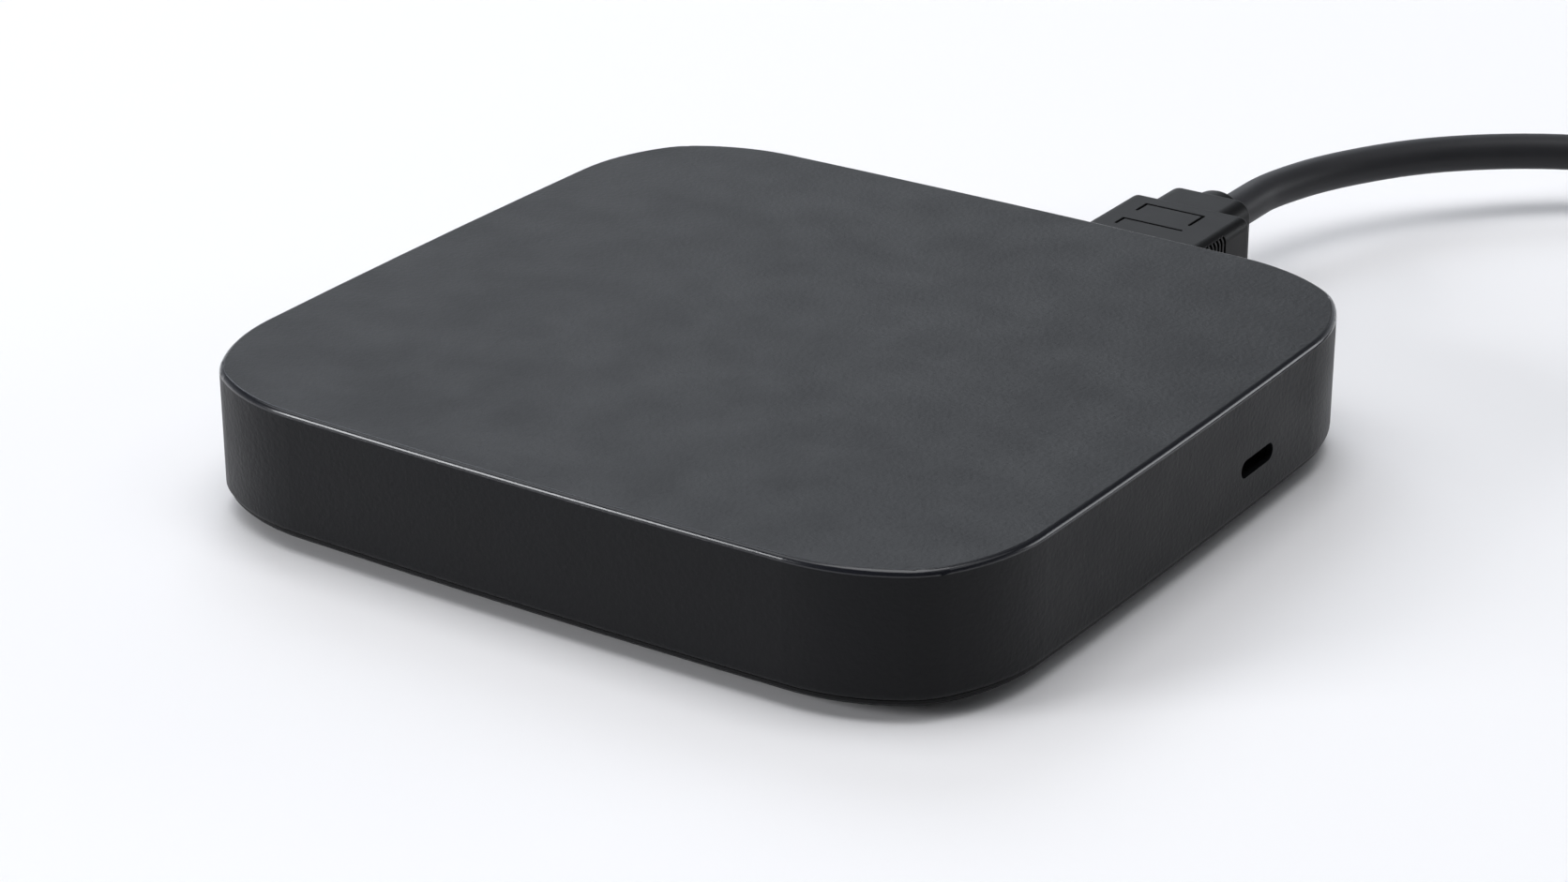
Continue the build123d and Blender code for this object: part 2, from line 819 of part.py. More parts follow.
with BuildPart() as video_socket_body:
    with BuildSketch(rear_plane(socket_block_y)):
        with Locations((video_x, video_z)):
            video_face(socket_play - insert_play)
    extrude(amount=video_back_wall)
    with BuildSketch(rear_plane(tongue_tip_y)):
        with Locations((video_x, video_z)):
            Rectangle(tongue_width, tongue_wall)
    extrude(amount=tongue_tip_y - socket_block_y)
    chamfer(
        video_socket_body.faces().sort_by(Axis.Y)[-1].edges().filter_by(Axis.X),
        tongue_wall / 4,
    )
video_socket_body.part.label = "video_socket_body"
export_step(video_socket_body.part, "parts/video_socket_body.step")


def contact_places(row_count):
    """Middles of a row of contacts across the video plug."""
    return [contact_pitch * (i - (row_count - 1) / 2) for i in range(row_count)]


with BuildPart() as video_socket_contacts:
    with BuildSketch(rear_plane(tongue_tip_y - tongue_contact_inset)):
        for row_count, side in video_contact_rows:
            for place in contact_places(row_count):
                middle = side * (tongue_wall + socket_contact_wall) / 2
                with Locations((video_x + place, video_z + middle)):
                    Rectangle(contact_width, socket_contact_wall)
    extrude(amount=tongue_tip_y - tongue_contact_inset - socket_block_y)
video_socket_contacts.part.label = "video_socket_contacts"
export_step(video_socket_contacts.part, "parts/video_socket_contacts.step")

# Small side port: oval shell, insulator with its tongue, contacts

usb_mouth_x = half_width - usb_lip - usb_face_gap
usb_back_x = usb_mouth_x - usb_depth
usb_block_x = usb_back_x + usb_sheet + usb_back_wall
usb_tip_x = usb_mouth_x - usb_tongue_gap

with BuildPart() as usb_c_shell:
    with BuildSketch(Plane.YZ.offset(usb_back_x)):
        with Locations((usb_y, usb_z)):
            SlotOverall(usb_shell_width, usb_shell_height)
    extrude(amount=usb_depth)
    with BuildSketch(Plane.YZ.offset(usb_back_x + usb_sheet)):
        with Locations((usb_y, usb_z)):
            SlotOverall(usb_shell_width - 2 * usb_sheet, usb_shell_height - 2 * usb_sheet)
    extrude(amount=usb_depth, mode=Mode.SUBTRACT)
usb_c_shell.part.label = "usb_c_shell"
export_step(usb_c_shell.part, "parts/usb_c_shell.step")

with BuildPart() as usb_c_body:
    with BuildSketch(Plane.YZ.offset(usb_back_x + usb_sheet)):
        with Locations((usb_y, usb_z)):
            SlotOverall(
                usb_shell_width - 2 * (usb_sheet + insert_play),
                usb_shell_height - 2 * (usb_sheet + insert_play),
            )
    extrude(amount=usb_back_wall)
    with BuildSketch(Plane.YZ.offset(usb_block_x)):
        with Locations((usb_y, usb_z)):
            Rectangle(usb_tongue_width, usb_tongue_wall)
    extrude(amount=usb_tip_x - usb_block_x)
    chamfer(
        usb_c_body.faces().sort_by(Axis.X)[-1].edges().filter_by(Axis.Y),
        usb_tongue_wall / 4,
    )
usb_c_body.part.label = "usb_c_body"
export_step(usb_c_body.part, "parts/usb_c_body.step")

with BuildPart() as usb_c_contacts:
    with BuildSketch(Plane.YZ.offset(usb_block_x)):
        for side in (-1, 1):
            middle = usb_z + side * (usb_tongue_wall + usb_contact_wall) / 2
            with Locations((usb_y, middle)):
                with GridLocations(usb_contact_pitch, 1, usb_contact_count, 1):
                    Rectangle(usb_contact_width, usb_contact_wall)
    extrude(amount=usb_contact_length)
usb_c_contacts.part.label = "usb_c_contacts"
export_step(usb_c_contacts.part, "parts/usb_c_contacts.step")

# Network jack, sunk through the board: sheet shield, moulding with its bay, eight wires


def bay_face(mode=Mode.ADD):
    """Mouth of the jack's bay with the stepped latch notch above it."""
    with Locations((network_x, bay_z)):
        Rectangle(bay_width, bay_height, align=(Align.CENTER, Align.MIN), mode=mode)
    with Locations((network_x, bay_z + bay_height)):
        Rectangle(latch_width, latch_height, align=(Align.CENTER, Align.MIN), mode=mode)
    with Locations((network_x, bay_z + bay_height + latch_height)):
        Rectangle(latch_tip_width, latch_tip_height, align=(Align.CENTER, Align.MIN), mode=mode)


jack_middle_z = jack_z + jack_height / 2

with BuildPart() as network_jack_shield:
    with BuildSketch(rear_plane(jack_mouth_y)):
        with Locations((network_x, jack_middle_z)):
            Rectangle(jack_width, jack_height)
    extrude(amount=jack_depth)
    with BuildSketch(rear_plane(jack_mouth_y - jack_sheet)):
        with Locations((network_x, jack_middle_z - jack_sheet)):
            Rectangle(jack_width - 2 * jack_sheet, jack_height)
    extrude(amount=jack_depth - 2 * jack_sheet, mode=Mode.SUBTRACT)
    with BuildSketch(rear_plane(jack_mouth_y)):
        bay_face()
    extrude(amount=jack_sheet, mode=Mode.SUBTRACT)
    with BuildSketch(Plane.XY.offset(board_top_z)):
        for side in (-1, 1):
            tab_x = network_x + side * (jack_width + jack_tab_width) / 2
            with Locations((tab_x, jack_mouth_y - jack_depth / 2)):
                with GridLocations(1, jack_depth / 3, 1, 2):
                    Rectangle(jack_tab_width, jack_tab_length)
    extrude(amount=jack_sheet)
network_jack_shield.part.label = "network_jack_shield"
export_step(network_jack_shield.part, "parts/network_jack_shield.step")

with BuildPart() as network_jack_housing:
    block_inset = jack_sheet + jack_play
    with BuildSketch(rear_plane(jack_mouth_y - block_inset)):
        with Locations((network_x, jack_z)):
            Rectangle(
                jack_width - 2 * block_inset,
                jack_height - block_inset,
                align=(Align.CENTER, Align.MIN),
            )
    extrude(amount=jack_depth - 2 * block_inset)
    with BuildSketch(rear_plane(jack_mouth_y)):
        bay_face()
    extrude(amount=bay_depth, mode=Mode.SUBTRACT)
network_jack_housing.part.label = "network_jack_housing"
export_step(network_jack_housing.part, "parts/network_jack_housing.step")

with BuildPart() as network_jack_contacts:
    wire_front_y = jack_mouth_y - wire_inset
    for i in range(wire_count):
        wire_x = network_x + wire_pitch * (i - (wire_count - 1) / 2)
        with BuildSketch(Plane.YZ.offset(wire_x)):
            with BuildLine():
                Polyline(
                    (wire_front_y, bay_z),
                    (wire_front_y - wire_run, bay_z + wire_rise),
                    (jack_mouth_y - bay_depth, bay_z + wire_rise),
                    (jack_mouth_y - bay_depth, bay_z + wire_rise + wire_wall),
                    (wire_front_y - wire_run, bay_z + wire_rise + wire_wall),
                    (wire_front_y + wire_wall, bay_z + wire_wall),
                    (wire_front_y + wire_wall, bay_z),
                    close=True,
                )
            make_face()
        extrude(amount=wire_width / 2, both=True)
network_jack_contacts.part.label = "network_jack_contacts"
export_step(network_jack_contacts.part, "parts/network_jack_contacts.step")

# Reset button in the rear wall and the switch it works

button_face_y = rear_wall_y(button_x) + button_stand
button_flange_y = rear_wall_y(abs(button_x) + button_flange_radius) - wall - button_flange_gap
plunger_tip_y = button_flange_y - button_flange_wall
switch_face_y = plunger_tip_y - plunger_stand

with BuildPart() as reset_button:
    with BuildSketch(rear_plane(button_face_y)):
        with Locations((button_x, button_z)):
            Circle(button_radius)
    extrude(amount=button_face_y - plunger_tip_y)
    chamfer(reset_button.faces().sort_by(Axis.Y)[-1].edges(), button_stand)
    with BuildSketch(rear_plane(button_flange_y)):
        with Locations((button_x, button_z)):
            Circle(button_flange_radius)
    extrude(amount=button_flange_wall)
reset_button.part.label = "reset_button"
export_step(reset_button.part, "parts/reset_button.step")

with BuildPart() as switch_plunger:
    with BuildSketch(rear_plane(plunger_tip_y)):
        with Locations((button_x, button_z)):
            RectangleRounded(plunger_width, plunger_height, plunger_height / 4)
    extrude(amount=plunger_stand + plunger_root)
switch_plunger.part.label = "switch_plunger"
export_step(switch_plunger.part, "parts/switch_plunger.step")

with BuildPart() as reset_switch:
    with BuildSketch(rear_plane(switch_face_y)):
        with Locations((button_x, board_top_z)):
            Rectangle(switch_width, switch_height, align=(Align.CENTER, Align.MIN))
    extrude(amount=switch_depth)
    with BuildSketch(rear_plane(switch_face_y)):
        with Locations((button_x, button_z)):
            RectangleRounded(
                plunger_width + 2 * plunger_play,
                plunger_height + 2 * plunger_play,
                plunger_height / 4,
            )
    extrude(amount=plunger_root + button_travel + plunger_play, mode=Mode.SUBTRACT)
reset_switch.part.label = "reset_switch"
export_step(reset_switch.part, "parts/reset_switch.step")

# Video plug: the same six pieces at each end of the lead.
# Its plane stands at the grip's front face, with Z up and its normal towards the shell's tip.

slot_depth = plug_shell_length - plug_front_y + tongue_tip_y + slot_end_play
collar_start = grip_length + neck_length
plug_back = collar_start + relief_length


def make_plug(middle, prefix):
    """Write the shell, insert, contacts, grip and strain relief of one plug."""
    face = Plane(origin=middle, x_dir=(1, 0, 0), z_dir=(0, -1, 0))
    tip = face.offset(plug_shell_length)

    with BuildPart() as shell:
        with BuildSketch(face.offset(-plug_shell_root)):
            video_face(0)
            video_face(-shell_sheet, mode=Mode.SUBTRACT)
        extrude(amount=plug_shell_root + plug_shell_length)
    shell.part.label = prefix + "plug_shell"
    export_step(shell.part, "parts/" + prefix + "plug_shell.step")

    with BuildPart() as insert:
        with BuildSketch(face.offset(-plug_shell_root)):
            video_face(-shell_sheet - insert_play)
        extrude(amount=plug_shell_root + plug_shell_length - shell_sheet)
        with BuildSketch(tip):
            Rectangle(tongue_width + 2 * slot_side_play, slot_height)
        extrude(amount=-slot_depth, mode=Mode.SUBTRACT)
    insert.part.label = prefix + "plug_insert"
    export_step(insert.part, "parts/" + prefix + "plug_insert.step")

    with BuildPart() as contacts:
        with BuildSketch(face.offset(plug_shell_length - slot_depth)):
            for row_count, side in video_contact_rows:
                for place in contact_places(row_count):
                    with Locations((place, side * (slot_height - plug_contact_wall) / 2)):
                        Rectangle(contact_width, plug_contact_wall)
        extrude(amount=slot_depth - 3 * shell_sheet)
    contacts.part.label = prefix + "plug_contacts"
    export_step(contacts.part, "parts/" + prefix + "plug_contacts.step")

    with BuildPart() as grip:
        with BuildSketch(face):
            RectangleRounded(grip_width, grip_height, grip_corner_radius)
        extrude(amount=-grip_length)
        fillet(grip.faces().sort_by(Axis.Y)[-1].edges(), grip_end_radius)
        fillet(grip.faces().sort_by(Axis.Y)[0].edges(), grip_end_radius / 2)
        with BuildSketch(face.offset(-grip_length / 2)):
            RectangleRounded(neck_width, neck_height, neck_corner_radius)
        extrude(amount=-grip_length / 2 - neck_length)
        fillet(grip.faces().sort_by(Axis.Y)[-1].edges(), neck_end_radius)
        with BuildSketch(face):
            video_face(0)
        extrude(amount=-plug_shell_root, mode=Mode.SUBTRACT)
        with BuildSketch(Plane.XY.offset(middle[2] - grip_height / 2 + rib_margin)):
            for side in (-1, 1):
                for i in range(rib_count):
                    rib_y = middle[1] + rib_start + i * rib_pitch
                    with Locations((middle[0] + side * grip_width / 2, rib_y)):
                        Rectangle(2 * rib_depth, rib_width)
        extrude(amount=grip_height - 2 * rib_margin, mode=Mode.SUBTRACT)
        with BuildSketch(Plane.XY.offset(middle[2] + grip_height / 2 - groove_depth)):
            front = middle[1] + frame_start
            rear = front + frame_length
            left = middle[0] + frame_offset - frame_width / 2
            right = middle[0] + frame_offset + frame_width / 2
            grooves = [
                ((left, front - frame_hook), (left, front)),
                ((left, front), (right, front)),
                ((left, rear - frame_break), (left, rear)),
                ((left, rear), (right, rear)),
                ((right, rear - 1.5 * frame_break), (right, rear)),
            ]
            for start, end in grooves:
                SlotCenterPoint(
                    ((start[0] + end[0]) / 2, (start[1] + end[1]) / 2),
                    end,
                    groove_width,
                )
        extrude(amount=grip_height, mode=Mode.SUBTRACT)
    grip.part.label = prefix + "plug_grip"
    export_step(grip.part, "parts/" + prefix + "plug_grip.step")

    with BuildPart() as relief:
        with BuildSketch(face.offset(-collar_start)):
            Circle(relief_radius)
        extrude(amount=collar_start - plug_back)
        fillet(relief.faces().sort_by(Axis.Y)[-1].edges(), relief_end_radius)
    relief.part.label = prefix + "strain_relief"
    export_step(relief.part, "parts/" + prefix + "strain_relief.step")


plug_middle = (video_x, plug_front_y, video_z)
make_plug(plug_middle, "")

# Video lead: a free run from the plug to the coil, the coil of the length put away,
# its tie, and a short tail to the far plug.

coil_pitch = 2 * cord_radius + coil_side_gap
coil_layer = 2 * cord_radius + coil_layer_gap
coil_low_z = floor_gap + tie_wall + tie_slack + cord_radius
coil_high_z = coil_low_z + coil_layer

run_route = [
    (video_x, plug_middle[1] + plug_back, video_z),
    (17.3, 98.5, 10.9),
    (17.4, 106.0, 10.9),
    (21.5, 120.0, 10.8),
    (31.5, 137.5, 10.4),
    (48.4, 153.2, 9.4),
    (71.2, 163.7, 7.6),
    (97.0, coil_y + coil_radius, coil_low_z),
    (coil_x, coil_y + coil_radius, coil_low_z),
]


def bend_radii(route):
    """The largest tangent arc at each corner: 0.45 of its shorter run over tan of half its turn."""
    radii = []
    for before, corner, after in zip(route, route[1:], route[2:]):
        run_in = Vector(*corner) - Vector(*before)
        run_out = Vector(*after) - Vector(*corner)
        half_turn = math.radians(run_in.get_angle(run_out)) / 2
        radii.append(0.45 * min(run_in.length, run_out.length) / math.tan(half_turn))
    return radii


def print_tube(name, part, path, section_area):
    """Compare the tube's volume with its section times its length."""
    print(name, "length", round(path.length, 1), "volume", round(part.volume), end=" ")
    print("section times length", round(section_area * path.length))


with BuildPart() as cord_run:
    with BuildLine() as run_line:
        FilletPolyline(*run_route, radius=bend_radii(run_route))
    with BuildSketch(Plane(origin=run_line.wire() @ 0, z_dir=run_line.wire() % 0)) as run_section:
        Circle(cord_radius)
    sweep(path=run_line.wire())
cord_run.part.label = "cord_run"
export_step(cord_run.part, "parts/cord_run.step")
print("cord_run radii", [round(r, 1) for r in bend_radii(run_route)])
print_tube("cord_run", cord_run.part, run_line.wire(), math.pi * cord_radius**2)


def coil_arcs():
    """Start, middle and end of each half turn: inwards, up one layer, and outwards again."""
    lower = [coil_radius - i * coil_pitch / 2 for i in range(2 * coil_layer_turns)]
    inner = coil_radius - coil_layer_turns * coil_pitch
    arcs = []
    y = coil_y + coil_radius
    z = coil_low_z
    for i, radius in enumerate(lower + [inner] + lower[:0:-1]):
        side = 1 if i % 2 == 0 else -1
        end_y = y - 2 * side * radius
        end_z = coil_low_z if i < 2 * coil_layer_turns else coil_high_z
        reach = math.hypot(radius, (end_z - z) / 2)
        middle = (coil_x + side * reach, (y + end_y) / 2, (z + end_z) / 2)
        arcs.append(((coil_x, y, z), middle, (coil_x, end_y, end_z)))
        y, z = end_y, end_z
    diagonal = coil_radius * math.sqrt(0.5)
    middle = (coil_x + diagonal, y - coil_radius + diagonal, z)
    arcs.append(((coil_x, y, z), middle, (coil_x + coil_radius, y - coil_radius, z)))
    return arcs


def least_gap(path, diameter, step=1.5, apart=40.0):
    """Least gap of a tube to itself, between points that lie apart along it."""
    count = int(path.length / step)
    points = [path @ (i / count) for i in range(count + 1)]
    skip = int(apart / step)
    pairs = ((a, b) for i, a in enumerate(points) for b in points[i + skip :])
    return min(math.dist(tuple(a), tuple(b)) for a, b in pairs) - diameter


with BuildPart() as cord_coil:
    with BuildLine() as coil_line:
        for start, middle, end in coil_arcs():
            ThreePointArc(start, middle, end)
    coil_path = coil_line.wire()
    with BuildSketch(Plane(origin=coil_path @ 0, z_dir=coil_path % 0)) as coil_section:
        RegularPolygon(cord_radius, cord_sides)
    sweep(path=coil_path)
cord_coil.part.label = "cord_coil"
export_step(cord_coil.part, "parts/cord_coil.step")
print_tube("cord_coil", cord_coil.part, coil_path, coil_section.sketch.area)
coil_gap = least_gap(coil_path, 2 * cord_radius)
print("cord_coil least gap", round(coil_gap, 2), "wanted over", coil_least_gap)

coil_end = coil_arcs()[-1][2]
far_z = floor_gap + grip_height / 2
tail_route = [
    coil_end,
    (coil_end[0], coil_end[1] - tail_level, coil_high_z),
    (coil_end[0], coil_end[1] - tail_level - tail_slope, far_z),
    (coil_end[0], coil_end[1] - tail_level - tail_slope - tail_end, far_z),
]

with BuildPart() as cord_tail:
    with BuildLine() as tail_line:
        FilletPolyline(*tail_route, radius=bend_radii(tail_route))
    with BuildSketch(Plane(origin=tail_line.wire() @ 0, z_dir=tail_line.wire() % 0)):
        Circle(cord_radius)
    sweep(path=tail_line.wire())
cord_tail.part.label = "cord_tail"
export_step(cord_tail.part, "parts/cord_tail.step")
print("cord_tail radii", [round(r, 1) for r in bend_radii(tail_route)])
print_tube("cord_tail", cord_tail.part, tail_line.wire(), math.pi * cord_radius**2)

# The tie goes once round the bundle on the coil's left side

bundle_outer = coil_radius - coil_pitch / 2
bundle_inner_radius = coil_radius - (coil_layer_turns - 0.5) * coil_pitch
bundle_inner = math.sqrt(bundle_inner_radius**2 - ((coil_pitch + tie_width) / 2) ** 2)
tie_inner_width = bundle_outer - bundle_inner + 2 * (cord_radius + tie_slack)
tie_inner_height = coil_layer + 2 * (cord_radius + tie_slack)

with BuildPart() as coil_tie:
    with BuildSketch(rear_plane(coil_y + tie_width / 2)):
        with Locations((coil_x - (bundle_outer + bundle_inner) / 2, (coil_low_z + coil_high_z) / 2)):
            RectangleRounded(
                tie_inner_width + 2 * tie_wall,
                tie_inner_height + 2 * tie_wall,
                cord_radius + tie_wall,
            )
            RectangleRounded(tie_inner_width, tie_inner_height, cord_radius, mode=Mode.SUBTRACT)
    extrude(amount=tie_width)
coil_tie.part.label = "coil_tie"
export_step(coil_tie.part, "parts/coil_tie.step")

make_plug((coil_end[0], tail_route[-1][1] - plug_back, far_z), "far_")
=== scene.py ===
"""Looks of a small streaming box with its video lead plugged in.

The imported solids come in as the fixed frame. This file adds the camera, the
studio, the free lead with its tie, and a finish for every piece.
"""

import logging
import math
from dataclasses import dataclass, field
from enum import Enum
from typing import Any

import bmesh
import bpy
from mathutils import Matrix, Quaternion, Vector

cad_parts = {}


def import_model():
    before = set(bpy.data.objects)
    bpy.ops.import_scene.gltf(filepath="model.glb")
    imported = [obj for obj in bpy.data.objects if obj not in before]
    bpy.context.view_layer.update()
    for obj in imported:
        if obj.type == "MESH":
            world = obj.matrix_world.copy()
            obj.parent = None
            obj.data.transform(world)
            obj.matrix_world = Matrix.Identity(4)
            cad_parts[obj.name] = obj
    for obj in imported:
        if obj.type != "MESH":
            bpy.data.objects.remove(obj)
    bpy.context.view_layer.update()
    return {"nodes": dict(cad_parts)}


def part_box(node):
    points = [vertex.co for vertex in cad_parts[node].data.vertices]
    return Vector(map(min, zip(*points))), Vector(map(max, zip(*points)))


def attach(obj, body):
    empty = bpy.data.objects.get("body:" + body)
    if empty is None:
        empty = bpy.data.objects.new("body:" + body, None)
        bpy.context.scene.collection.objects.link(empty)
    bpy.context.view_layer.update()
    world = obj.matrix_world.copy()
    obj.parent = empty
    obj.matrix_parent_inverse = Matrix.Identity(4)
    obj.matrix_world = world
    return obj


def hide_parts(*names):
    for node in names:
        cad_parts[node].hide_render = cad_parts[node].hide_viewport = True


log = logging.getLogger("streaming_box")

Colour = tuple[float, float, float]
Point = tuple[float, float, float]
Span = tuple[float, float]

MILLIMETRE = 0.001
MAP_INPUTS = ("From Min", "From Max", "To Min", "To Max")


class Grain(Enum):
    """Ways a surface can be broken up, each with the levels of detail of its noise."""

    PLAIN = 1.0
    MOULDED = 2.0
    BRUSHED = 4.0
    SATIN = 5.0


def shaded(colour: Colour, factor: float) -> Colour:
    """Make a colour darker or lighter by a factor."""
    return tuple(part * factor for part in colour)


def direction(azimuth: float, elevation: float) -> Vector:
    """Turn two angles into a direction.

    Args:
        azimuth: Degrees from +X towards +Y.
        elevation: Degrees above the floor.

    Returns:
        A vector of length 1.
    """
    turn, rise = math.radians(azimuth), math.radians(elevation)
    level = math.cos(rise)
    return Vector((math.cos(turn) * level, math.sin(turn) * level, math.sin(rise)))


def show(name: str, data: bpy.types.ID) -> bpy.types.Object:
    """Make an object of a mesh, curve, light or camera and put it in the scene.

    Args:
        name: The object's name.
        data: What it shows.

    Returns:
        The object.
    """
    shown = bpy.data.objects.new(name, data)
    bpy.context.scene.collection.objects.link(shown)
    return shown


class NodeBench:
    """Adds and joins the shader nodes of one material."""

    def __init__(self, name: str) -> None:
        """Start a material with an empty tree, a surface shader and object coordinates.

        Args:
            name: The material's name.
        """
        self.material = bpy.data.materials.new(name)
        self.material.use_nodes = True
        self.tree = self.material.node_tree
        self.tree.nodes.clear()
        self.surface = self.add("ShaderNodeBsdfPrincipled")
        output = self.add("ShaderNodeOutputMaterial")
        self.join(self.surface.outputs["BSDF"], output.inputs["Surface"])
        self.place = self.add("ShaderNodeTexCoord").outputs["Object"]

    def add(self, kind: str, **settings: Any) -> bpy.types.Node:
        """Add a node.

        Args:
            kind: The node's type.
            **settings: Properties to set on it.

        Returns:
            The new node.
        """
        node = self.tree.nodes.new(kind)
        for key, value in settings.items():
            setattr(node, key, value)
        return node

    def join(self, source: bpy.types.NodeSocket, target: bpy.types.NodeSocket) -> None:
        """Join an output to an input."""
        self.tree.links.new(source, target)

    def feed(self, socket: bpy.types.NodeSocket, value: Any) -> None:
        """Set an input to a number or join it to an output.

        Args:
            socket: The input.
            value: A number, a vector or an output of another node.
        """
        if isinstance(value, bpy.types.NodeSocket):
            self.join(value, socket)
        else:
            socket.default_value = value

    def noise(
        self, size: float, detail: float = 3.0, stretch: Point = (1, 1, 1)
    ) -> bpy.types.NodeSocket:
        """Add noise whose blotches are about size metres wide.

        Args:
            size: Width of a blotch in metres.
            detail: Levels of finer noise.
            stretch: Factors that squeeze it along X, Y and Z, so a small one draws it out.

        Returns:
            The noise factor, from 0 to 1.
        """
        mapping = self.add("ShaderNodeMapping")
        self.join(self.place, mapping.inputs["Vector"])
        mapping.inputs["Scale"].default_value = [s / size for s in stretch]
        texture = self.add("ShaderNodeTexNoise")
        self.join(mapping.outputs["Vector"], texture.inputs["Vector"])
        texture.inputs["Scale"].default_value = 1.0
        texture.inputs["Detail"].default_value = detail
        return texture.outputs["Fac"]

    def cells(self, size: float, feature: str = "F1") -> bpy.types.NodeSocket:
        """Add cells about size metres wide.

        Args:
            size: Width of a cell in metres.
            feature: The distance to give.

        Returns:
            The distance, in cell widths.
        """
        texture = self.add("ShaderNodeTexVoronoi", feature=feature)
        self.join(self.place, texture.inputs["Vector"])
        texture.inputs["Scale"].default_value = 1.0 / size
        return texture.outputs["Distance"]

    def part_of(self, vector: bpy.types.NodeSocket) -> bpy.types.NodeOutputs:
        """Take a vector apart.

        Args:
            vector: The output that gives it.

        Returns:
            Outputs named X, Y and Z.
        """
        node = self.add("ShaderNodeSeparateXYZ")
        self.join(vector, node.inputs["Vector"])
        return node.outputs

    def math(self, operation: str, first: Any, second: Any = 0.0) -> bpy.types.NodeSocket:
        """Work out a number from two others.

        Args:
            operation: The sum to do.
            first: A number or an output.
            second: A number or an output.

        Returns:
            The result.
        """
        node = self.add("ShaderNodeMath", operation=operation)
        self.feed(node.inputs[0], first)
        self.feed(node.inputs[1], second)
        return node.outputs["Value"]

    def spread(
        self, factor: bpy.types.NodeSocket, ends: Span = (0.0, 1.0), limits: Span = (0.0, 1.0)
    ) -> bpy.types.NodeSocket:
        """Map a number between two limits onto a range, and hold it there beyond them.

        Args:
            factor: The number to map.
            ends: Results at the two limits.
            limits: Values of the factor between which the result changes.

        Returns:
            The mapped number.
        """
        node = self.add("ShaderNodeMapRange")
        self.join(factor, node.inputs["Value"])
        for name, value in zip(MAP_INPUTS, (*limits, *ends)):
            node.inputs[name].default_value = value
        return node.outputs["Result"]

    def tint(self, factor: Any, first: Any, second: Any) -> bpy.types.NodeSocket:
        """Mix two colours.

        Args:
            factor: 0 for the first colour and 1 for the second.
            first: A colour or an output.
            second: A colour or an output.

        Returns:
            The mixed colour.
        """
        node = self.add("ShaderNodeMix", data_type="RGBA")
        self.feed(node.inputs["Factor"], factor)
        colours = [socket for socket in node.inputs if socket.type == "RGBA"]
        for socket, value in zip(colours, (first, second)):
            self.feed(socket, value if isinstance(value, bpy.types.NodeSocket) else (*value, 1.0))
        return next(socket for socket in node.outputs if socket.type == "RGBA")

    def bump(self, height: Any, depth: float, under: Any = None) -> bpy.types.NodeSocket:
        """Raise the surface by a height.

        Args:
            height: Output that gives the height.
            depth: Height in metres of the value 1.
            under: Normal of an earlier bump, or none.

        Returns:
            The bent normal.
        """
        node = self.add("ShaderNodeBump")
        self.join(height, node.inputs["Height"])
        node.inputs["Distance"].default_value = depth
        if under is not None:
            self.join(under, node.inputs["Normal"])
        return node.outputs["Normal"]

    def set(self, **values: Any) -> None:
        """Set or join inputs of the surface shader by name, with spaces as underscores."""
        for key, value in values.items():
            self.feed(self.surface.inputs[key.replace("_", " ")], value)


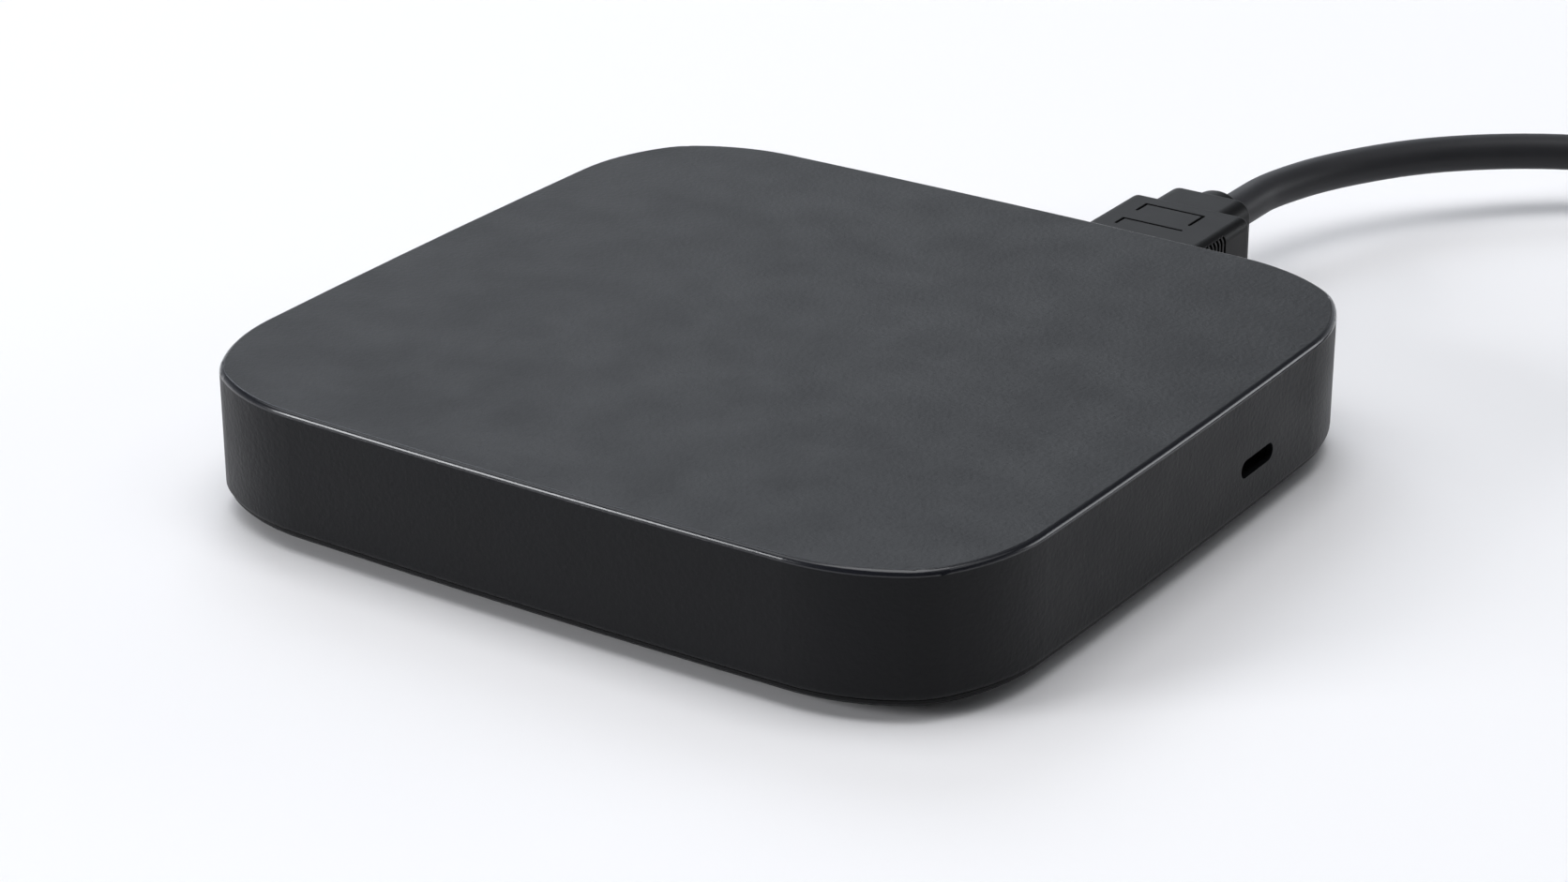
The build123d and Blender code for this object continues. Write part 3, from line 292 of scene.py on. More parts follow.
@dataclass(frozen=True)
class Finish:
    """A finish that can be put on any piece.

    Lengths are in metres. The finer grain of a moulded surface has its size as a share of
    grain_size and its height as a share of the coarse grain's, brushing squeezes the brushed
    noise along each axis, and uneven is the share by which the colour drifts. The roughness
    drifts by uneven_gloss of that.
    """

    name: str
    colour: Colour
    roughness: float
    metallic: float = 0.0
    specular: float = 0.5
    grain: Grain = Grain.PLAIN
    grain_size: float = 0.4 * MILLIMETRE
    grain_depth: float = 0.01 * MILLIMETRE
    fine_size: float = 0.45
    fine_height: float = 0.7
    brushing: Point = (0.05, 1.0, 1.0)
    uneven: float = 0.06
    uneven_size: float = 9.0 * MILLIMETRE
    uneven_limits: Span = (0.3, 0.7)
    uneven_gloss: float = 0.5
    coat: float = 0.0
    coat_roughness: float = 0.2
    edge: float = 0.0
    edge_samples: int = 6

    def make(self) -> bpy.types.Material:
        """Give the material, and make it the first time it is asked for.

        Returns:
            The material.
        """
        known = bpy.data.materials.get(self.name)
        if known is not None:
            return known
        bench = NodeBench(self.name)
        bench.set(Metallic=self.metallic, Specular_IOR_Level=self.specular)
        bench.set(Coat_Weight=self.coat, Coat_Roughness=self.coat_roughness)
        self.paint(bench)
        return bench.material

    def paint(self, bench: NodeBench) -> None:
        """Colour, roughness and relief of the finish.

        Args:
            bench: The material's nodes.
        """
        colour, roughness = self.clouds(bench)
        bench.set(Base_Color=colour, Roughness=roughness)
        bench.set(Normal=bench.bump(self.relief(bench), self.grain_depth, self.rounding(bench)))

    def clouds(self, bench: NodeBench) -> tuple[bpy.types.NodeSocket, bpy.types.NodeSocket]:
        """Colour and roughness that drift a little over the surface.

        Args:
            bench: The material's nodes.

        Returns:
            The colour and the roughness.
        """
        drift = bench.spread(bench.noise(self.uneven_size), limits=self.uneven_limits)
        darker, lighter = shaded(self.colour, 1 - self.uneven), shaded(self.colour, 1 + self.uneven)
        swing = self.uneven_gloss * self.uneven
        roughness = bench.spread(drift, (self.roughness - swing, self.roughness + swing))
        return bench.tint(drift, darker, lighter), roughness

    def relief(self, bench: NodeBench) -> bpy.types.NodeSocket:
        """Height of the grain.

        Args:
            bench: The material's nodes.

        Returns:
            The height, of which 1 stands for the grain's depth.
        """
        detail = self.grain.value
        if self.grain is Grain.MOULDED:
            pebbles = bench.cells(self.grain_size, "SMOOTH_F1")
            fine = bench.noise(self.fine_size * self.grain_size, detail)
            return bench.math("ADD", pebbles, bench.math("MULTIPLY", fine, self.fine_height))
        if self.grain is Grain.BRUSHED:
            return bench.noise(self.grain_size, detail, self.brushing)
        return bench.noise(self.grain_size, detail)

    def rounding(self, bench: NodeBench) -> Any:
        """Normal with its sharp edges rounded, or none where the finish leaves them sharp.

        Args:
            bench: The material's nodes.

        Returns:
            The rounded normal or None.
        """
        if not self.edge:
            return None
        node = bench.add("ShaderNodeBevel", samples=self.edge_samples)
        node.inputs["Radius"].default_value = self.edge
        return node.outputs["Normal"]


@dataclass(frozen=True)
class MouldedCase(Finish):
    """Grained plastic whose top edge is burnished by handling: smoother and glossier, and paled
    by a painted highlight.

    The burnish and the painted highlight come in over edge_fade of the band's height. Each
    lean is a pair of values of the normal's upward part, between which both fade to the top
    or to the wall.
    """

    uneven_gloss: float = 0.3
    edge_top: float = 20.1 * MILLIMETRE
    edge_height: float = 1.3 * MILLIMETRE
    edge_fade: float = 0.1
    edge_roughness: float = 0.2
    edge_coat: float = 0.6
    # Painted highlight: how many times paler the colour is on the rounding of the top edge.
    painted_highlight_gain: float = 3.0
    lean_to_top: Span = (0.96, 0.995)
    lean_to_wall: Span = (0.02, 0.1)

    def paint(self, bench: NodeBench) -> None:
        """Colour, roughness, coat and relief, each changed on the rounding of the top edge, where
        the colour is made paler as a painted highlight.

        Args:
            bench: The material's nodes.
        """
        colour, roughness = self.clouds(bench)
        polish_and_painted_highlight = self.polish_and_painted_highlight(bench)
        # Painted highlight: the colour is paled along the rounding of the top edge.
        bench.set(Base_Color=bench.tint(polish_and_painted_highlight, colour, shaded(self.colour, self.painted_highlight_gain)))
        smoothing = bench.math("MULTIPLY", polish_and_painted_highlight, self.roughness - self.edge_roughness)
        bench.set(Roughness=bench.math("SUBTRACT", roughness, smoothing))
        bench.set(Coat_Weight=bench.math("MULTIPLY", polish_and_painted_highlight, self.edge_coat))
        grain = bench.math("MULTIPLY", self.relief(bench), bench.math("SUBTRACT", 1.0, polish_and_painted_highlight))
        bench.set(Normal=bench.bump(grain, self.grain_depth))

    def polish_and_painted_highlight(self, bench: NodeBench) -> bpy.types.NodeSocket:
        """How far the surface is burnished and paled by the painted highlight.

        Args:
            bench: The material's nodes.

        Returns:
            1 on the rounding of the top edge and 0 elsewhere.
        """
        height = bench.part_of(bench.place)["Z"]
        lean = bench.part_of(bench.place.node.outputs["Normal"])["Z"]
        bottom = self.edge_top - self.edge_height
        near = bench.spread(height, limits=(bottom, bottom + self.edge_fade * self.edge_height))
        below_top = bench.spread(lean, (1.0, 0.0), self.lean_to_top)
        above_wall = bench.spread(lean, limits=self.lean_to_wall)
        return bench.math("MULTIPLY", near, bench.math("MULTIPLY", below_top, above_wall))


@dataclass(frozen=True)
class Laminate(Finish):
    """Circuit board: solder mask over patches of copper tracks, with a patch's size in tracks."""

    copper: Colour = (0.05, 0.17, 0.08)
    track: float = 1.1 * MILLIMETRE
    track_height: float = 0.03 * MILLIMETRE
    gap: float = 0.16
    patch: float = 9.0
    patch_detail: float = 1.0
    patch_limits: Span = (0.48, 0.52)
    mask_paleness: float = 1.15
    duller: float = 0.08

    def paint(self, bench: NodeBench) -> None:
        """Mask colour, raised tracks in patches and gloss.

        Args:
            bench: The material's nodes.
        """
        brick = bench.add("ShaderNodeTexBrick")
        bench.join(bench.place, brick.inputs["Vector"])
        brick.inputs["Scale"].default_value = brick.inputs["Brick Width"].default_value / self.track
        brick.inputs["Mortar Size"].default_value = self.gap
        tracks = bench.math("SUBTRACT", 1.0, brick.outputs["Fac"])
        patches = bench.noise(self.patch * self.track, self.patch_detail)
        shown = bench.math("MULTIPLY", tracks, bench.spread(patches, limits=self.patch_limits))
        drift = bench.noise(self.uneven_size)
        mask = bench.tint(drift, self.colour, shaded(self.colour, self.mask_paleness))
        bench.set(Base_Color=bench.tint(shown, mask, self.copper))
        bench.set(Roughness=bench.spread(drift, (self.roughness, self.roughness + self.duller)))
        bench.set(Normal=bench.bump(shown, self.track_height))


@dataclass(frozen=True)
class Webbing(Finish):
    """Woven hook and loop strip, with the size of its fuzz as a share of a thread."""

    thread: float = 0.4 * MILLIMETRE
    thread_height: float = 0.08 * MILLIMETRE
    fuzz_size: float = 0.5
    fuzz_detail: float = 5.0
    fuzz_height: float = 0.8
    # Painted light and shade: heights between these limits grade from the plain colour to the paler
    # one.
    painted_light_limits: Span = (0.3, 1.4)
    # Painted light: how many times paler the raised threads and fuzz are.
    painted_light_gain: float = 2.2
    smoother: float = 0.1
    duller: float = 0.05
    sheen: float = 0.35
    sheen_roughness: float = 0.4

    def paint(self, bench: NodeBench) -> None:
        """Threads across and along, with a fuzz of loops, painted paler where they stand high and
        darker in the hollows as painted light and shade.

        Args:
            bench: The material's nodes.
        """
        place = bench.part_of(bench.place)
        across = self.wave(bench, place["Y"])
        along = self.wave(bench, bench.math("ADD", place["X"], place["Z"]))
        weave = bench.spread(bench.math("MULTIPLY", across, along), limits=(-1.0, 1.0))
        fuzz = bench.noise(self.fuzz_size * self.thread, self.fuzz_detail)
        height = bench.math("ADD", weave, bench.math("MULTIPLY", fuzz, self.fuzz_height))
        # Painted light and shade: raised threads and fuzz are paler, the hollows darker.
        painted_light = bench.spread(height, limits=self.painted_light_limits)
        bench.set(Base_Color=bench.tint(painted_light, self.colour, shaded(self.colour, self.painted_light_gain)))
        roughnesses = (self.roughness - self.smoother, self.roughness + self.duller)
        bench.set(Roughness=bench.spread(fuzz, roughnesses))
        bench.set(Sheen_Weight=self.sheen, Sheen_Roughness=self.sheen_roughness)
        bench.set(Normal=bench.bump(height, self.thread_height))

    def wave(self, bench: NodeBench, distance: bpy.types.NodeSocket) -> bpy.types.NodeSocket:
        """Rise and fall of the threads.

        Args:
            bench: The material's nodes.
            distance: Distance in metres.

        Returns:
            A wave from -1 to 1, one thread up and one thread down.
        """
        return bench.math("SINE", bench.math("MULTIPLY", distance, math.pi / self.thread))


@dataclass(frozen=True)
class Finishes:
    """Every finish on the box and its lead."""

    housing: MouldedCase = MouldedCase(
        "graphite_moulded_plastic",
        (0.0036, 0.0038, 0.0049),
        0.43,
        specular=0.17,
        grain=Grain.MOULDED,
        grain_size=0.65 * MILLIMETRE,
        grain_depth=0.04 * MILLIMETRE,
        uneven=0.12,
    )
    cover: Finish = Finish(
        "black_base_plastic",
        (0.0035, 0.0036, 0.0042),
        0.42,
        specular=0.16,
        grain=Grain.MOULDED,
        grain_size=0.5 * MILLIMETRE,
        grain_depth=0.012 * MILLIMETRE,
    )
    rubber: Finish = Finish(
        "foot_rubber",
        (0.012, 0.012, 0.012),
        0.78,
        specular=0.3,
        grain=Grain.SATIN,
        grain_size=0.25 * MILLIMETRE,
        grain_depth=0.03 * MILLIMETRE,
        edge=0.12 * MILLIMETRE,
    )
    lead: Finish = Finish(
        "lead_jacket",
        (0.026, 0.026, 0.0286),
        0.46,
        specular=0.2,
        grain=Grain.SATIN,
        grain_size=0.3 * MILLIMETRE,
        grain_depth=0.012 * MILLIMETRE,
        uneven_size=6 * MILLIMETRE,
    )
    grip: Finish = Finish(
        "plug_grip_plastic",
        (0.0042, 0.0042, 0.0046),
        0.42,
        specular=0.13,
        grain=Grain.SATIN,
        grain_size=0.25 * MILLIMETRE,
        grain_depth=0.012 * MILLIMETRE,
        edge=0.18 * MILLIMETRE,
    )
    steel: Finish = Finish(
        "zinc_plated_steel",
        (0.55, 0.55, 0.54),
        0.34,
        1.0,
        grain=Grain.BRUSHED,
        edge=0.06 * MILLIMETRE,
    )
    tin: Finish = Finish(
        "tinned_sheet",
        (0.47, 0.465, 0.45),
        0.36,
        1.0,
        grain=Grain.SATIN,
        grain_size=0.6 * MILLIMETRE,
        grain_depth=0.006 * MILLIMETRE,
    )
    nickel: Finish = Finish(
        "nickel_plated_shell",
        (0.46, 0.455, 0.445),
        0.32,
        1.0,
        grain=Grain.BRUSHED,
        grain_size=0.12 * MILLIMETRE,
        grain_depth=0.003 * MILLIMETRE,
    )
    black_nickel: Finish = Finish(
        "black_nickel_shell",
        (0.022, 0.022, 0.024),
        0.5,
        1.0,
        grain=Grain.BRUSHED,
        grain_size=0.12 * MILLIMETRE,
        grain_depth=0.003 * MILLIMETRE,
    )
    gold: Finish = Finish(
        "gold_flash", (0.78, 0.55, 0.22), 0.28, 1.0, grain_depth=0.004 * MILLIMETRE
    )
    aluminium: Finish = Finish(
        "milled_aluminium",
        (0.66, 0.66, 0.67),
        0.4,
        1.0,
        grain=Grain.BRUSHED,
        grain_size=0.1 * MILLIMETRE,
        grain_depth=0.004 * MILLIMETRE,
    )
    insulator: Finish = Finish(
        "socket_insulator",
        (0.0045, 0.0045, 0.005),
        0.55,
        specular=0.2,
        grain=Grain.SATIN,
        grain_size=0.2 * MILLIMETRE,
        grain_depth=0.006 * MILLIMETRE,
    )
    chip: Finish = Finish(
        "chip_resin",
        (0.014, 0.014, 0.015),
        0.55,
        grain=Grain.SATIN,
        grain_size=0.15 * MILLIMETRE,
        grain_depth=0.008 * MILLIMETRE,
        edge=0.08 * MILLIMETRE,
    )
    pad: Finish = Finish(
        "heat_pad_silicone",
        (0.22, 0.24, 0.30),
        0.7,
        grain=Grain.SATIN,
        grain_size=0.5 * MILLIMETRE,
        grain_depth=0.02 * MILLIMETRE,
    )
    nylon: Finish = Finish("pin_nylon", (0.62, 0.60, 0.52), 0.45, grain=Grain.SATIN)
    ceramic: Finish = Finish(
        "capacitor_ceramic", (0.30, 0.19, 0.10), 0.4, uneven=0.2, uneven_size=0.5 * MILLIMETRE
    )
    board: Laminate = Laminate("solder_mask_board", (0.010, 0.055, 0.028), 0.3, coat=0.3)
    tie: Webbing = Webbing("hook_and_loop_webbing", (0.010, 0.010, 0.011), 0.85, specular=0.2)


@dataclass
class PhotoCamera:
    """Camera at the photograph's place, turned as it was and with its lens.

    The place is in metres, the direction from the box to the camera in degrees, and the
    lens, sensor and clipping are in Blender's own units.
    """

    place: Point = (0.26336, -0.39379, 0.21511)
    azimuth: float = -56.164
    elevation: float = 24.023
    roll: float = -0.034
    lens: float = 88.49
    sensor: float = 36.0
    clip_start: float = 0.01
    clip_end: float = 50.0

    def build(self) -> bpy.types.Object:
        """Make the camera and use it for the scene.

        Returns:
            The camera object.
        """
        data = bpy.data.cameras.new("photo_camera")
        data.lens = self.lens
        data.sensor_width = self.sensor
        data.clip_start = self.clip_start
        data.clip_end = self.clip_end
        camera = show("photo_camera", data)
        camera.location = self.place
        camera.rotation_mode = "QUATERNION"
        level = (-direction(self.azimuth, self.elevation)).to_track_quat("-Z", "Y")
        camera.rotation_quaternion = level @ Quaternion((0, 0, 1), math.radians(self.roll))
        bpy.context.scene.camera = camera
        return camera


@dataclass
class SoftPanel:
    """A soft light panel that faces the box, with angles in degrees, metres and watts."""

    name: str
    azimuth: float
    elevation: float
    width: float
    height: float
    power: float
    tint: Colour = (1.0, 1.0, 1.0)
    distance: float = 3.3

    def build(self) -> bpy.types.Object:
        """Hang the panel.

        Returns:
            The light object.
        """
        data = bpy.data.lights.new(self.name, "AREA")
        data.shape = "RECTANGLE"
        data.size = self.width
        data.size_y = self.height
        data.energy = self.power
        data.color = self.tint
        panel = show(self.name, data)
        outward = direction(self.azimuth, self.elevation)
        panel.location = self.distance * outward
        panel.rotation_mode = "QUATERNION"
        panel.rotation_quaternion = (-outward).to_track_quat("-Z", "Y")
        return panel


@dataclass
class Studio:
    """Pale floor, soft panels and the dim room round them.

    The room is graded twice: along room_axis, which points behind the box, and upwards. The
    limits say how far along the grading starts and ends, and the strengths what it gives.
    """

    floor_size: float = 14.0
    floor_cells: int = 8
    floor_colour: Colour = (0.87, 0.860, 0.867)
    floor_shade: float = 0.985
    floor_blotch: float = 0.35
    floor_detail: float = 2.0
    floor_roughness: Span = (0.65, 0.75)
    floor_specular: float = 0.2
    room_colour: Colour = (0.90, 0.94, 1.0)
    room_axis: Point = (-0.5, 0.86, 0.0)
    room_limits: Span = (-0.7, 0.8)
    room_strength: Span = (0.02, 0.7)
    zenith_limits: Span = (0.12, 0.5)
    zenith_strength: Span = (1.0, 0.08)
    panels: list[SoftPanel] = field(
        default_factory=lambda: [
            SoftPanel("overhead_panel", 0.0, 88.5, 2.4, 2.4, 66.0, (0.97, 0.98, 1.0)),
            SoftPanel("high_back_panel", 110.0, 62.0, 2.2, 2.2, 3.0, (0.95, 0.975, 1.0)),
            SoftPanel("high_left_panel", -160.0, 55.0, 2.0, 1.6, 18.5, (0.95, 0.975, 1.0)),
            SoftPanel("high_right_panel", 20.0, 55.0, 2.0, 1.6, 9.7, (0.95, 0.975, 1.0)),
            SoftPanel("back_left_panel", 134.0, 39.5, 2.0, 1.6, 30.0, (0.88, 0.93, 1.0)),
            SoftPanel("low_back_panel", 123.0, 26.0, 2.6, 1.6, 3.6, (0.92, 0.96, 1.0)),
            SoftPanel("front_left_strip", -129.0, 19.0, 1.15, 1.1, 64.0, (0.96, 0.975, 1.0)),
            SoftPanel("back_right_strip", 50.0, 10.0, 1.7, 1.1, 18.0, (0.95, 0.97, 1.0)),
        ]
    )

    def build(self) -> None:
        """Lay the floor, light the room and hang the panels."""
        self.lay_floor()
        self.light_room()
        for panel in self.panels:
            panel.build()
        scene = bpy.context.scene
        scene.view_settings.view_transform = "Standard"
        scene.view_settings.look = "None"

    def lay_floor(self) -> bpy.types.Object:
        """Lay the floor under the box.

        Returns:
            The floor object.
        """
        mesh = bpy.data.meshes.new("studio_floor")
        shape = bmesh.new()
        cells = self.floor_cells
        bmesh.ops.create_grid(shape, x_segments=cells, y_segments=cells, size=self.floor_size / 2)
        shape.to_mesh(mesh)
        shape.free()
        floor = show("studio_floor", mesh)
        bench = NodeBench("studio_paint")
        drift = bench.noise(self.floor_blotch, self.floor_detail)
        darker = shaded(self.floor_colour, self.floor_shade)
        bench.set(Base_Color=bench.tint(drift, darker, self.floor_colour))
        bench.set(Roughness=bench.spread(drift, self.floor_roughness))
        bench.set(Specular_IOR_Level=self.floor_specular)
        mesh.materials.append(bench.material)
        return floor

    def light_room(self) -> None:
        """Light the room dimly: brighter behind the box than in front, and darker overhead."""
        world = bpy.data.worlds.new("studio_room")
        bpy.context.scene.world = world
        world.use_nodes = True
        tree = world.node_tree
        tree.nodes.clear()
        place = tree.nodes.new("ShaderNodeTexCoord")
        around = self.ramp(place, self.room_axis, self.room_limits, self.room_strength)
        upward = self.ramp(place, (0.0, 0.0, 1.0), self.zenith_limits, self.zenith_strength)
        strength = tree.nodes.new("ShaderNodeMath")
        strength.operation = "MULTIPLY"
        tree.links.new(around, strength.inputs[0])
        tree.links.new(upward, strength.inputs[1])
        glow = tree.nodes.new("ShaderNodeBackground")
        glow.inputs["Color"].default_value = (*self.room_colour, 1.0)
        tree.links.new(strength.outputs["Value"], glow.inputs["Strength"])
        output = tree.nodes.new("ShaderNodeOutputWorld")
        tree.links.new(glow.outputs["Background"], output.inputs["Surface"])

    @staticmethod
    def ramp(
        place: bpy.types.Node, axis: Point, limits: Span, ends: Span
    ) -> bpy.types.NodeSocket:
        """Grade a number along an axis of the room.

        Args:
            place: Node that gives the direction.
            axis: Direction to grade along.
            limits: How far along the axis the grading starts and ends.
            ends: Number at the start and at the end.

        Returns:
            The graded number.
        """
        tree = place.id_data
        along = tree.nodes.new("ShaderNodeVectorMath")
        along.operation = "DOT_PRODUCT"
        along.inputs[1].default_value = axis
        tree.links.new(place.outputs["Generated"], along.inputs[0])
        grade = tree.nodes.new("ShaderNodeMapRange")
        for name, value in zip(MAP_INPUTS, (*limits, *ends)):
            grade.inputs[name].default_value = value
        tree.links.new(along.outputs["Value"], grade.inputs["Value"])
        return grade.outputs["Result"]


@dataclass
class Assembly:
    """A group of the frame's solids and the finish that each one gets."""

    nodes: dict[str, bpy.types.Object]
    finishes: Finishes
    title: str = "assembly"

    def plan(self) -> dict[str, Finish]:
        """Finish of each solid by name."""
        return {}

    def dress(self) -> None:
        """Put each finish on its solid and report it."""
        for name, finish in self.plan().items():
            self.put_on(self.nodes[name], finish)
            log.info("%s: %s in %s", self.title, name, finish.name)

    @staticmethod
    def put_on(piece: bpy.types.Object, finish: Finish) -> None:
        """Make a finish the only material of a piece.

        Args:
            piece: The piece.
            finish: Its finish.
        """
        material = finish.make()
        if not piece.data.materials:
            piece.data.materials.append(material)
        for slot in piece.material_slots:
            slot.material = material


@dataclass
class BoxShell(Assembly):
    """The outside of the box."""

    title: str = "box shell"

    def plan(self) -> dict[str, Finish]:
        """Choose the finishes of the shell.

        Returns:
            Finish of each solid by name.
        """
        finishes = self.finishes
        return {
            "top_housing": finishes.housing,
            "base_cover": finishes.cover,
            "rubber_feet": finishes.rubber,
            "case_screws": finishes.steel,
            "reset_button": finishes.cover,
        }


@dataclass
class BoardWork(Assembly):
    """The main board and what is soldered or pressed on it."""

    title: str = "board"

    def plan(self) -> dict[str, Finish]:
        """Choose the finishes of the board and its parts.

        Returns:
            Finish of each solid by name.
        """
        finishes = self.finishes
        groups = (
            (finishes.board, ("main_board",)),
            (finishes.steel, ("board_screws",)),
            (finishes.chip, ("processor", "memory_chips", "flash_chip", "power_chip")),
            (finishes.chip, ("power_inductors", "ir_receiver", "network_transformer")),
            (finishes.tin, ("shield_frame", "shield_lid", "crystal", "wifi_module", "antennas")),
            (finishes.aluminium, ("heat_sink", "power_capacitors")),
            (finishes.pad, ("chip_pad", "sink_pad")),
            (finishes.nylon, ("sink_pins",)),
            (finishes.ceramic, ("small_capacitors",)),
        )
        return {name: finish for finish, names in groups for name in names}


@dataclass
class Ports(Assembly):
    """The sockets and the reset switch."""

    title: str = "ports"

    def plan(self) -> dict[str, Finish]:
        """Choose the finishes of the sockets and the switch.

        Returns:
            Finish of each solid by name.
        """
        finishes = self.finishes
        groups = (
            (finishes.tin, ("video_socket_shell", "network_jack_shield")),
            (finishes.black_nickel, ("usb_c_shell",)),
            (finishes.insulator, ("video_socket_body", "usb_c_body", "network_jack_housing")),
            (finishes.gold, ("video_socket_contacts", "usb_c_contacts", "network_jack_contacts")),
            (finishes.insulator, ("reset_switch", "switch_plunger")),
        )
        return {name: finish for finish, names in groups for name in names}


@dataclass
class LeadRoute:
    """Route of the free lead, in metres: a free run, the coil put away and a short tail."""

    run: tuple[Point, ...] = (
        (0.0173, 0.0900, 0.0109),
        (0.0173, 0.0985, 0.0109),
        (0.0174, 0.1060, 0.0109),
        (0.0215, 0.1200, 0.0108),
        (0.0315, 0.1375, 0.0104),
        (0.0484, 0.1532, 0.0094),
        (0.0712, 0.1637, 0.0076),
    )
    diameter: float = 0.0056
    coil_centre: tuple[float, float] = (0.110, 0.1284)
    coil_radius: float = 0.0396
    coil_pitch: float = 0.0062
    coil_layer: float = 0.0061
    coil_low: float = 0.00347
    layer_turns: int = 2
    points_per_turn: int = 16
    lead_in: float = 0.013
    tail_level: float = 0.016
    tail_slope: float = 0.020
    tail_end: float = 0.012
    tail_height: float = 0.00552

    def coil_points(self) -> list[Point]:
        """Points round the coil: turns inwards, up one layer, then outwards again.

        Returns:
            Corners of the polygon that the turns touch at the middle of its sides.
        """
        radius, pitch = self.coil_radius, self.coil_pitch
        lower = [radius - i * pitch / 2 for i in range(2 * self.layer_turns)]
        halves = lower + [radius - self.layer_turns * pitch] + lower[::-1]
        count = self.points_per_turn // 2
        step = math.pi / count
        x, y = self.coil_centre
        top = y + radius
        points = []
        for i, size in enumerate(halves):
            side = 1 if i % 2 == 0 else -1
            middle = top - side * size
            climb = self.climb_of(i)
            corners = count // 2 if i == len(halves) - 1 else count
            for k in range(corners):
                angle = (k + 0.5) * step
                reach = size / math.cos(step / 2)
                height = climb[0] + (climb[1] - climb[0]) * (1 - math.cos(angle)) / 2
                across, along = side * reach * math.sin(angle), side * reach * math.cos(angle)
                points.append((x + across, middle + along, height))
            top -= 2 * side * size
        return points

    def climb_of(self, half: int) -> tuple[float, float]:
        """Height at the start and end of a half turn.

        Args:
            half: Its number, from 0.

        Returns:
            The two heights.
        """
        low, high = self.coil_low, self.coil_low + self.coil_layer
        middle = 2 * self.layer_turns
        return (high if half > middle else low, high if half >= middle else low)

    def points(self) -> list[Point]:
        """Every point of the lead from the plug to the far plug.

        Returns:
            The points, in metres.
        """
        x, y = self.coil_centre
        high = self.coil_low + self.coil_layer
        lead_in = [(x - self.lead_in, y + self.coil_radius, self.coil_low)]
        edge = x + self.coil_radius
        level = y - self.tail_level
        slope = level - self.tail_slope
        tail = [
            (edge, level, high),
            (edge, slope, self.tail_height),
            (edge, slope - self.tail_end, self.tail_height),
        ]
        return [*self.run, *lead_in, *self.coil_points(), *tail]


@dataclass
class VideoLead(Assembly):
    """The video lead: its plugs, and the cord as one smooth curve."""

    title: str = "video lead"
    cord_nodes: tuple[str, ...] = ("cord_run", "cord_coil", "cord_tail")
    length: float = 1.088
    cord_steps: int = 8
    cord_roundness: int = 6

    def plan(self) -> dict[str, Finish]:
        """Choose the finishes of both plugs.

        Returns:
            Finish of each solid by name.
        """
        finishes = self.finishes
        made: dict[str, Finish] = {}
        for end in ("", "far_"):
            made[end + "plug_shell"] = finishes.nickel
            made[end + "plug_insert"] = finishes.insulator
            made[end + "plug_contacts"] = finishes.gold
            made[end + "plug_grip"] = finishes.grip
            made[end + "strain_relief"] = finishes.grip
        return made

    def lay_cord(self, route: LeadRoute) -> bpy.types.Object:
        """Lay the cord along its route.

        Args:
            route: The route's points and sizes.

        Returns:
            The cord object.
        """
        points = route.points()
        data = bpy.data.curves.new("video_lead_cord", "CURVE")
        data.dimensions = "3D"
        spline = data.splines.new("NURBS")
        spline.points.add(len(points) - 1)
        for knot, place in zip(spline.points, points):
            knot.co = (*place, 1.0)
        spline.order_u = 3
        spline.use_endpoint_u = True
        data.resolution_u = self.cord_steps
        data.bevel_depth = route.diameter / 2
        data.bevel_resolution = self.cord_roundness
        data.use_fill_caps = True
        cord = show("video_lead_cord", data)
        data.materials.append(self.finishes.lead.make())
        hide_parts(*self.cord_nodes)
        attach(cord, "video_lead")
        log.info("video lead: cord laid through %d points", len(points))
        return cord

    def declare(self, cord: bpy.types.Object, route: LeadRoute, tie: bpy.types.Object) -> None:
        """Take the cord, its route and its tie, and do nothing with them.

        Args:
            cord: The cord object; not used.
            route: The route that it follows; not used.
            tie: The tie round its coil; not used.
        """


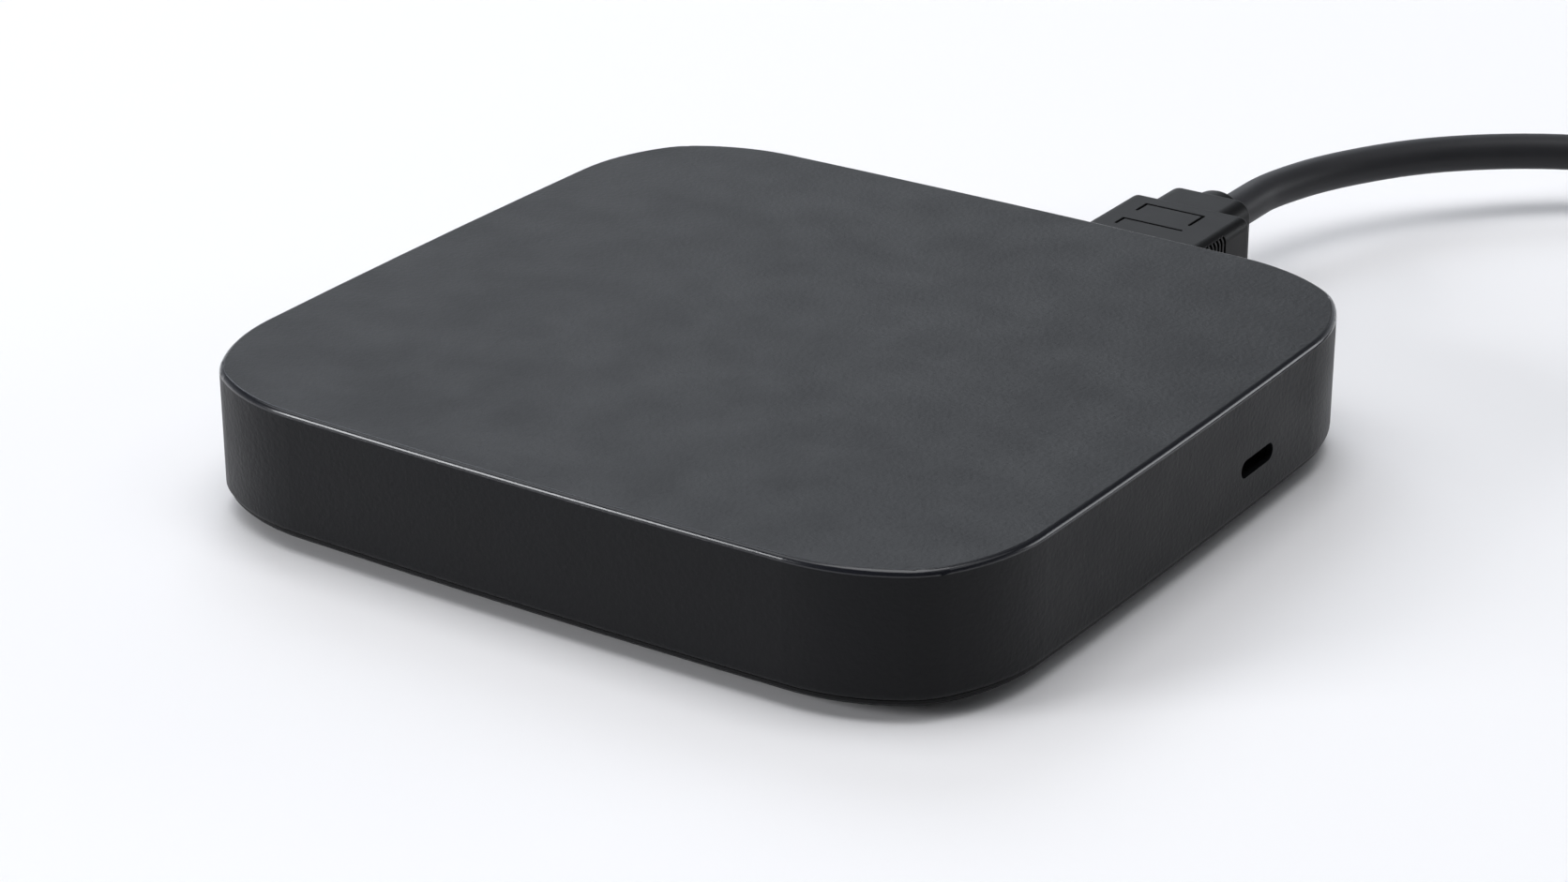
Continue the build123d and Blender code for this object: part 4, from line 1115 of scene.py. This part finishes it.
@dataclass
class CoilTie:
    """Hook and loop strip wrapped once round the coil, with its end lapped over its start."""

    low: Point
    high: Point
    wall: float = 0.31 * MILLIMETRE
    lap: float = 6.2 * MILLIMETRE
    corner: float = 3.3 * MILLIMETRE
    tuck: float = 0.32 * MILLIMETRE
    tuck_ramp: float = 2.5 * MILLIMETRE
    end_radius: float = 1.6 * MILLIMETRE
    inset: float = 0.01 * MILLIMETRE
    edge_rounding: float = 0.07 * MILLIMETRE
    edge_segments: int = 2
    bend_steps: int = 12
    straight_steps: int = 6
    start_steps: int = 14
    last_steps: int = 2
    end_steps: int = 8

    def legs(self) -> list[tuple[float, float, int]]:
        """Lay out the wrap, from the start on top round the bundle to the lapped end.

        Returns:
            Length, turn and number of steps of each leg.
        """
        wide, tall = (self.high[i] - self.low[i] - 2 * (self.corner + self.inset) for i in (0, 2))
        turn = math.pi / 2
        bend = (turn * self.corner, turn, self.bend_steps)
        first = (wide + self.lap) / 2
        start = (first, 0.0, self.start_steps)
        side, under = (tall, 0.0, self.straight_steps), (wide, 0.0, self.straight_steps)
        last = (wide - first, 0.0, self.last_steps)
        lapped = (self.lap - self.end_radius, 0.0, self.straight_steps)
        end = (self.end_radius, 0.0, self.end_steps)
        return [start, bend, side, bend, under, bend, side, bend, last, lapped, end]

    def spine(self) -> list[tuple[Vector, Vector, float]]:
        """Walk round the bundle.

        Returns:
            Points on the outer face, the outward direction there and the distance walked.
        """
        start = (self.low[0] + self.high[0] - self.lap) / 2
        place = Vector((start, 0.0, self.high[2] - self.inset))
        heading, walked = 0.0, 0.0
        points = [(place.copy(), Vector((0.0, 0.0, 1.0)), walked)]
        for length, turn, steps in self.legs():
            bend = turn / steps
            stride = 2 * (length / turn) * math.sin(bend / 2) if turn else length / steps
            for _ in range(steps):
                heading -= bend / 2
                place += stride * Vector((math.cos(heading), 0.0, math.sin(heading)))
                heading -= bend / 2
                walked += length / steps
                outward = Vector((-math.sin(heading), 0.0, math.cos(heading)))
                points.append((place.copy(), outward, walked))
        return points

    def sink(self, walked: float) -> float:
        """How deep the strip lies at a distance from its start, which is tucked under the lap."""
        past = min(max((walked - self.lap - self.inset) / self.tuck_ramp, 0.0), 1.0)
        return self.tuck * (1 - past * past * (3 - 2 * past))

    def narrowing(self, left: float) -> float:
        """How much each edge draws in at a distance from the free end, which has round corners."""
        short = max(self.end_radius - left, 0.0)
        return self.end_radius - math.sqrt(max(self.end_radius**2 - short**2, 0.0))

    def build(self, finish: Finish) -> bpy.types.Object:
        """Make the strip.

        Args:
            finish: The strip's finish.

        Returns:
            The strip object.
        """
        y0, y1 = self.low[1] + self.inset, self.high[1] - self.inset
        spine = self.spine()
        total = spine[-1][2]
        shape = bmesh.new()
        rings = []
        for place, outward, walked in spine:
            top = place - self.sink(walked) * outward
            under = top - self.wall * outward
            draw = self.narrowing(total - walked)
            corners = ((top, y0 + draw), (top, y1 - draw), (under, y1 - draw), (under, y0 + draw))
            rings.append([shape.verts.new((point.x, y, point.z)) for point, y in corners])
        for first, second in zip(rings, rings[1:]):
            for k, corner in enumerate(first):
                n = (k + 1) % len(first)
                shape.faces.new((corner, first[n], second[n], second[k]))
        shape.faces.new(rings[0][::-1])
        shape.faces.new(rings[-1])
        bmesh.ops.recalc_face_normals(shape, faces=shape.faces)
        mesh = bpy.data.meshes.new("coil_strip")
        shape.to_mesh(mesh)
        shape.free()
        strip = show("coil_strip", mesh)
        bevel = strip.modifiers.new("soft_edges", "BEVEL")
        bevel.width = self.edge_rounding
        bevel.segments = self.edge_segments
        mesh.materials.append(finish.make())
        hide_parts("coil_tie")
        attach(strip, "video_lead")
        log.info("video lead: tie wrapped")
        return strip


def main() -> None:
    """Build the scene in order and report each piece."""
    logging.basicConfig(level=logging.INFO, format="%(name)s: %(message)s")
    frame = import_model()
    nodes = frame["nodes"]
    finishes = Finishes()
    PhotoCamera().build()
    route = LeadRoute()
    lead = VideoLead(nodes, finishes)
    cord = lead.lay_cord(route)
    low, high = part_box("coil_tie")
    tie = CoilTie(tuple(low), tuple(high)).build(finishes.tie)
    lead.declare(cord, route, tie)
    for kind in (BoxShell, BoardWork, Ports):
        kind(nodes, finishes).dress()
    lead.dress()
    Studio().build()


if __name__ == "__main__":
    main()
